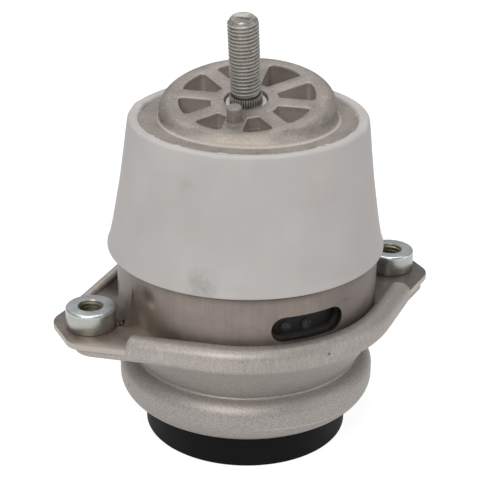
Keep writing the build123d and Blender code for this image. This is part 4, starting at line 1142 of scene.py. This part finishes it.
# %% Zinc flake on the stud
def dull_zinc():
    finish = Finish("dull zinc flake", metallic=0.7)
    clouds = finish.noise(3, detail=4)
    fine = finish.noise(0.5, detail=3, roughness=0.65)
    pits = finish.between(finish.noise(0.8, detail=3), 0.60, 0.68)
    x, y, z = finish.xyz(finish.leaning())
    away = finish.from_axis(x, y)
    # painted highlight on the crests of the thread
    painted_crest_highlight = finish.along(away, 5.4, 5.95)
    colour = finish.mix(finish.between(clouds, 0.3, 0.7), tone(138, 134, 127), tone(162, 158, 151))
    colour = finish.mix(painted_crest_highlight * 0.75, colour, tone(210, 205, 198))
    # painted shade between the teeth of the knurled collar
    painted_collar_shade = finish.along(z, 1.5, 1.8, 1.0, 0.0)
    colour = finish.mix(painted_collar_shade * finish.along(away, STUD_RADIUS, 6.4, 0.9, 0.05), colour, tone(60, 57, 51))
    # painted shadow at the foot of the collar
    colour = finish.mix(finish.along(z, -1.6, 0.6, 0.55, 0.0), colour, tone(62, 59, 52))
    colour = finish.mix(finish.between(fine, 0.30, 0.45, 0.45, 0.0), colour, tone(96, 91, 83))
    colour = finish.mix(finish.between(fine, 0.55, 0.70) * 0.4, colour, tone(222, 217, 206))
    colour = finish.mix(pits * 0.6, colour, tone(66, 63, 57))
    finish.wear(colour, finish.between(clouds, 0.3, 0.7, 0.30, 0.42), finish.bump(fine * 0.5 - pits, 0.05))
    finish.put_on(stud_piece)


dull_zinc()

# %% [markdown]
# The bush round the stud is bare turned steel. Only a thin line of it shows, so a faint cloudiness
# and a very shallow bump are enough.

# %% Turned steel
def turned_steel():
    finish = Finish("turned steel", metallic=0.9)
    clouds = finish.noise(2, detail=3)
    colour = finish.mix(clouds, tone(176, 172, 166), tone(206, 202, 196))
    finish.wear(colour, 0.3, finish.bump(clouds, 0.01))
    finish.put_on(bush_piece)


turned_steel()

# %% [markdown]
# The cap is black moulded plastic with a very fine grain and thin dust in patches. Real black plastic
# is never quite black, so its base colour stays a little above zero.

# %% Black plastic
def black_plastic():
    finish = Finish("black plastic", Specular_IOR_Level=0.12)
    grain = finish.noise(0.4, detail=2)
    clouds = finish.noise(12, detail=3)
    dust = finish.between(finish.noise(1.6, detail=4), 0.55, 0.75)
    colour = finish.mix(clouds, tone(10, 10, 11), tone(17, 17, 18))
    colour = finish.mix(dust * 0.15, colour, tone(48, 46, 44))
    finish.wear(colour, finish.between(clouds, 0.3, 0.7, 0.48, 0.6), finish.bump(grain, 0.02))
    finish.put_on(cap_piece)


black_plastic()

# %% [markdown]
# The rubber spring keeps its solid, because its shape is right and only a strip of it shows through
# the window of the sleeve. There its black rubber shows two grey round marks where it is embossed. There its
# black rubber is rubbed grey in two places.

# %% Spring rubber
def spring_rubber():
    finish = Finish("spring rubber")
    clouds = finish.noise(4, detail=4)
    rough = finish.noise(0.6, detail=4, roughness=0.7)
    colour = finish.mix(clouds, tone(6, 6, 7), tone(13, 13, 14))
    for spot in ((-5.4, -46.5, 64.9), (3.0, -46.7, 64.0)):
        grey_round_mark = finish.near(spot, 0.3, 1.0, (2.6, 4, 2.6)) * finish.between(rough, 0.42, 0.6)
        colour = finish.mix(grey_round_mark * 0.75, colour, tone(104, 104, 106))
    colour = finish.mix(finish.between(rough, 0.60, 0.72) * 0.35, colour, tone(64, 64, 66))
    finish.wear(colour, 0.55, finish.bump(rough, 0.12))
    finish.put_on(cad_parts["main_spring"])


spring_rubber()

# %% [markdown]
# The other pieces that are sealed inside keep their solids too. Rubber, castings and plates each share
# one finish, so one function makes them all from two colours, a roughness and a depth of grain.

# %% Inner pieces
def inner_finish(name, low, high, rough, depth, metallic, nodes):
    finish = Finish(name, metallic=metallic)
    clouds = finish.noise(4, detail=4)
    colour = finish.mix(clouds, tone(*low), tone(*high))
    finish.wear(colour, finish.between(clouds, 0.3, 0.7, rough - 0.06, rough + 0.06),
                finish.bump(finish.noise(0.5, detail=2), depth))
    finish.put_on(*[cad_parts[n] for n in nodes])


inner_finish("black rubber", (16, 16, 17), (28, 28, 29), 0.5, 0.04, 0.0,
             ["jounce_buffer", "decoupler_disc", "track_seal", "rolling_diaphragm"])
inner_finish("phosphated steel", (70, 68, 64), (92, 89, 84), 0.5, 0.03, 0.7, ["spring_ring"])
inner_finish("inner castings", (160, 160, 158), (186, 186, 184), 0.45, 0.04, 0.8,
             ["spring_core", "track_upper_plate", "track_lower_plate"])
inner_finish("inner steel", (150, 150, 150), (180, 180, 180), 0.35, 0.01, 1.0,
             ["track_rivets", "diaphragm_ring"])

# %% [markdown]
# The photograph was taken with a long lens from about 24 degrees above, a little turned. The
# camera's place and direction were found by fitting the ellipses of the round parts. They are set as
# a matrix of its right, up and backward directions, which needs no aiming constraint.

# %% Camera
CAMERA_PLACE = Vector((-233.50, -492.58, 322.9)) * MM
HEADING, DIP, ROLL = radians(25.06), radians(23.99), radians(0.54)
FOCAL_PIXELS, PICTURE_PIXELS, SENSOR = 1484.07, 480, 36
forward = Vector((sin(HEADING) * cos(DIP), cos(HEADING) * cos(DIP), -sin(DIP)))
level_right = Vector((cos(HEADING), -sin(HEADING), 0))
level_up = level_right.cross(forward)
right = level_right * cos(ROLL) + level_up * sin(ROLL)
up = level_up * cos(ROLL) - level_right * sin(ROLL)
camera_data = bpy.data.cameras.new("camera")
camera_data.lens = FOCAL_PIXELS / PICTURE_PIXELS * SENSOR
camera_data.sensor_width = SENSOR
camera = bpy.data.objects.new("camera", camera_data)
camera.matrix_world = Matrix((
    (right.x, up.x, -forward.x, CAMERA_PLACE.x),
    (right.y, up.y, -forward.y, CAMERA_PLACE.y),
    (right.z, up.z, -forward.z, CAMERA_PLACE.z),
    (0, 0, 0, 1)))
bpy.context.scene.collection.objects.link(camera)
bpy.context.scene.camera = camera
print("lens mm:", round(camera_data.lens, 1))

# %% [markdown]
# The floor is white paper. Lit only by lamps it would look grey, and more light would spoil the
# part's own colours. So for the camera, and less so in reflections, part of the paper glows: it looks
# white and still keeps the shadow.

# %% Floor
GLOW_SHARE, REFLECTED_SHARE = 0.72, 0.45
floor_mesh = bmesh.new()
bmesh.ops.create_grid(floor_mesh, x_segments=1, y_segments=1, size=6000)
bmesh.ops.scale(floor_mesh, vec=(MM, MM, MM), verts=floor_mesh.verts[:])
floor = as_object(floor_mesh, "floor")
paper = Finish("white paper")
tree = paper.tree
paper.shader.inputs["Base Color"].default_value = (0.86, 0.86, 0.86, 1)
paper.shader.inputs["Roughness"].default_value = 0.9
paper.shader.inputs["Specular IOR Level"].default_value = 0.1
light_path = tree.nodes.new("ShaderNodeLightPath")
seen = (Wire(paper, light_path.outputs["Is Camera Ray"])
        + Wire(paper, light_path.outputs["Is Glossy Ray"]) * REFLECTED_SHARE)
glow = paper.node("ShaderNodeEmission", {}, {"Color": (1, 1, 1, 1), "Strength": 1.25})
blend = tree.nodes.new("ShaderNodeMixShader")
paper.feed(blend.inputs[0], seen * GLOW_SHARE)
tree.links.new(paper.shader.outputs[0], blend.inputs[1])
tree.links.new(glow.socket, blend.inputs[2])
tree.links.new(blend.outputs[0], tree.nodes["Material Output"].inputs["Surface"])
paper.put_on(floor)

# %% [markdown]
# Studio light is large and soft. A pale world lights everything a little, and three area lamps give
# it a gentle direction: the key from the upper left, a weak fill from the right and one from above.

# %% World and lamps
AIM = Vector((0, 0, 0.085))
world = bpy.data.worlds.new("studio")
world.use_nodes = True
world.node_tree.nodes["Background"].inputs["Color"].default_value = (0.95, 0.97, 1.0, 1)
world.node_tree.nodes["Background"].inputs["Strength"].default_value = 0.36
bpy.context.scene.world = world


def soft_box(name, place, size, power):
    """Area lamp aimed at the middle of the part."""
    data = bpy.data.lights.new(name, "AREA")
    data.shape = "RECTANGLE"
    data.size, data.size_y = size
    data.energy = power
    lamp = bpy.data.objects.new(name, data)
    lamp.location = place
    lamp.rotation_euler = (AIM - Vector(place)).to_track_quat("-Z", "Y").to_euler()
    bpy.context.scene.collection.objects.link(lamp)
    print(name, "lamp:", power, "W")


soft_box("key", (-0.62, -0.64, 0.85), (0.7, 0.7), 7.0)
soft_box("fill", (0.8, -0.6, 0.45), (0.6, 0.8), 1.6)
soft_box("top", (0.1, 0.25, 1.0), (0.8, 0.8), 5)
bpy.context.scene.view_settings.view_transform = "Standard"

# %% [markdown]
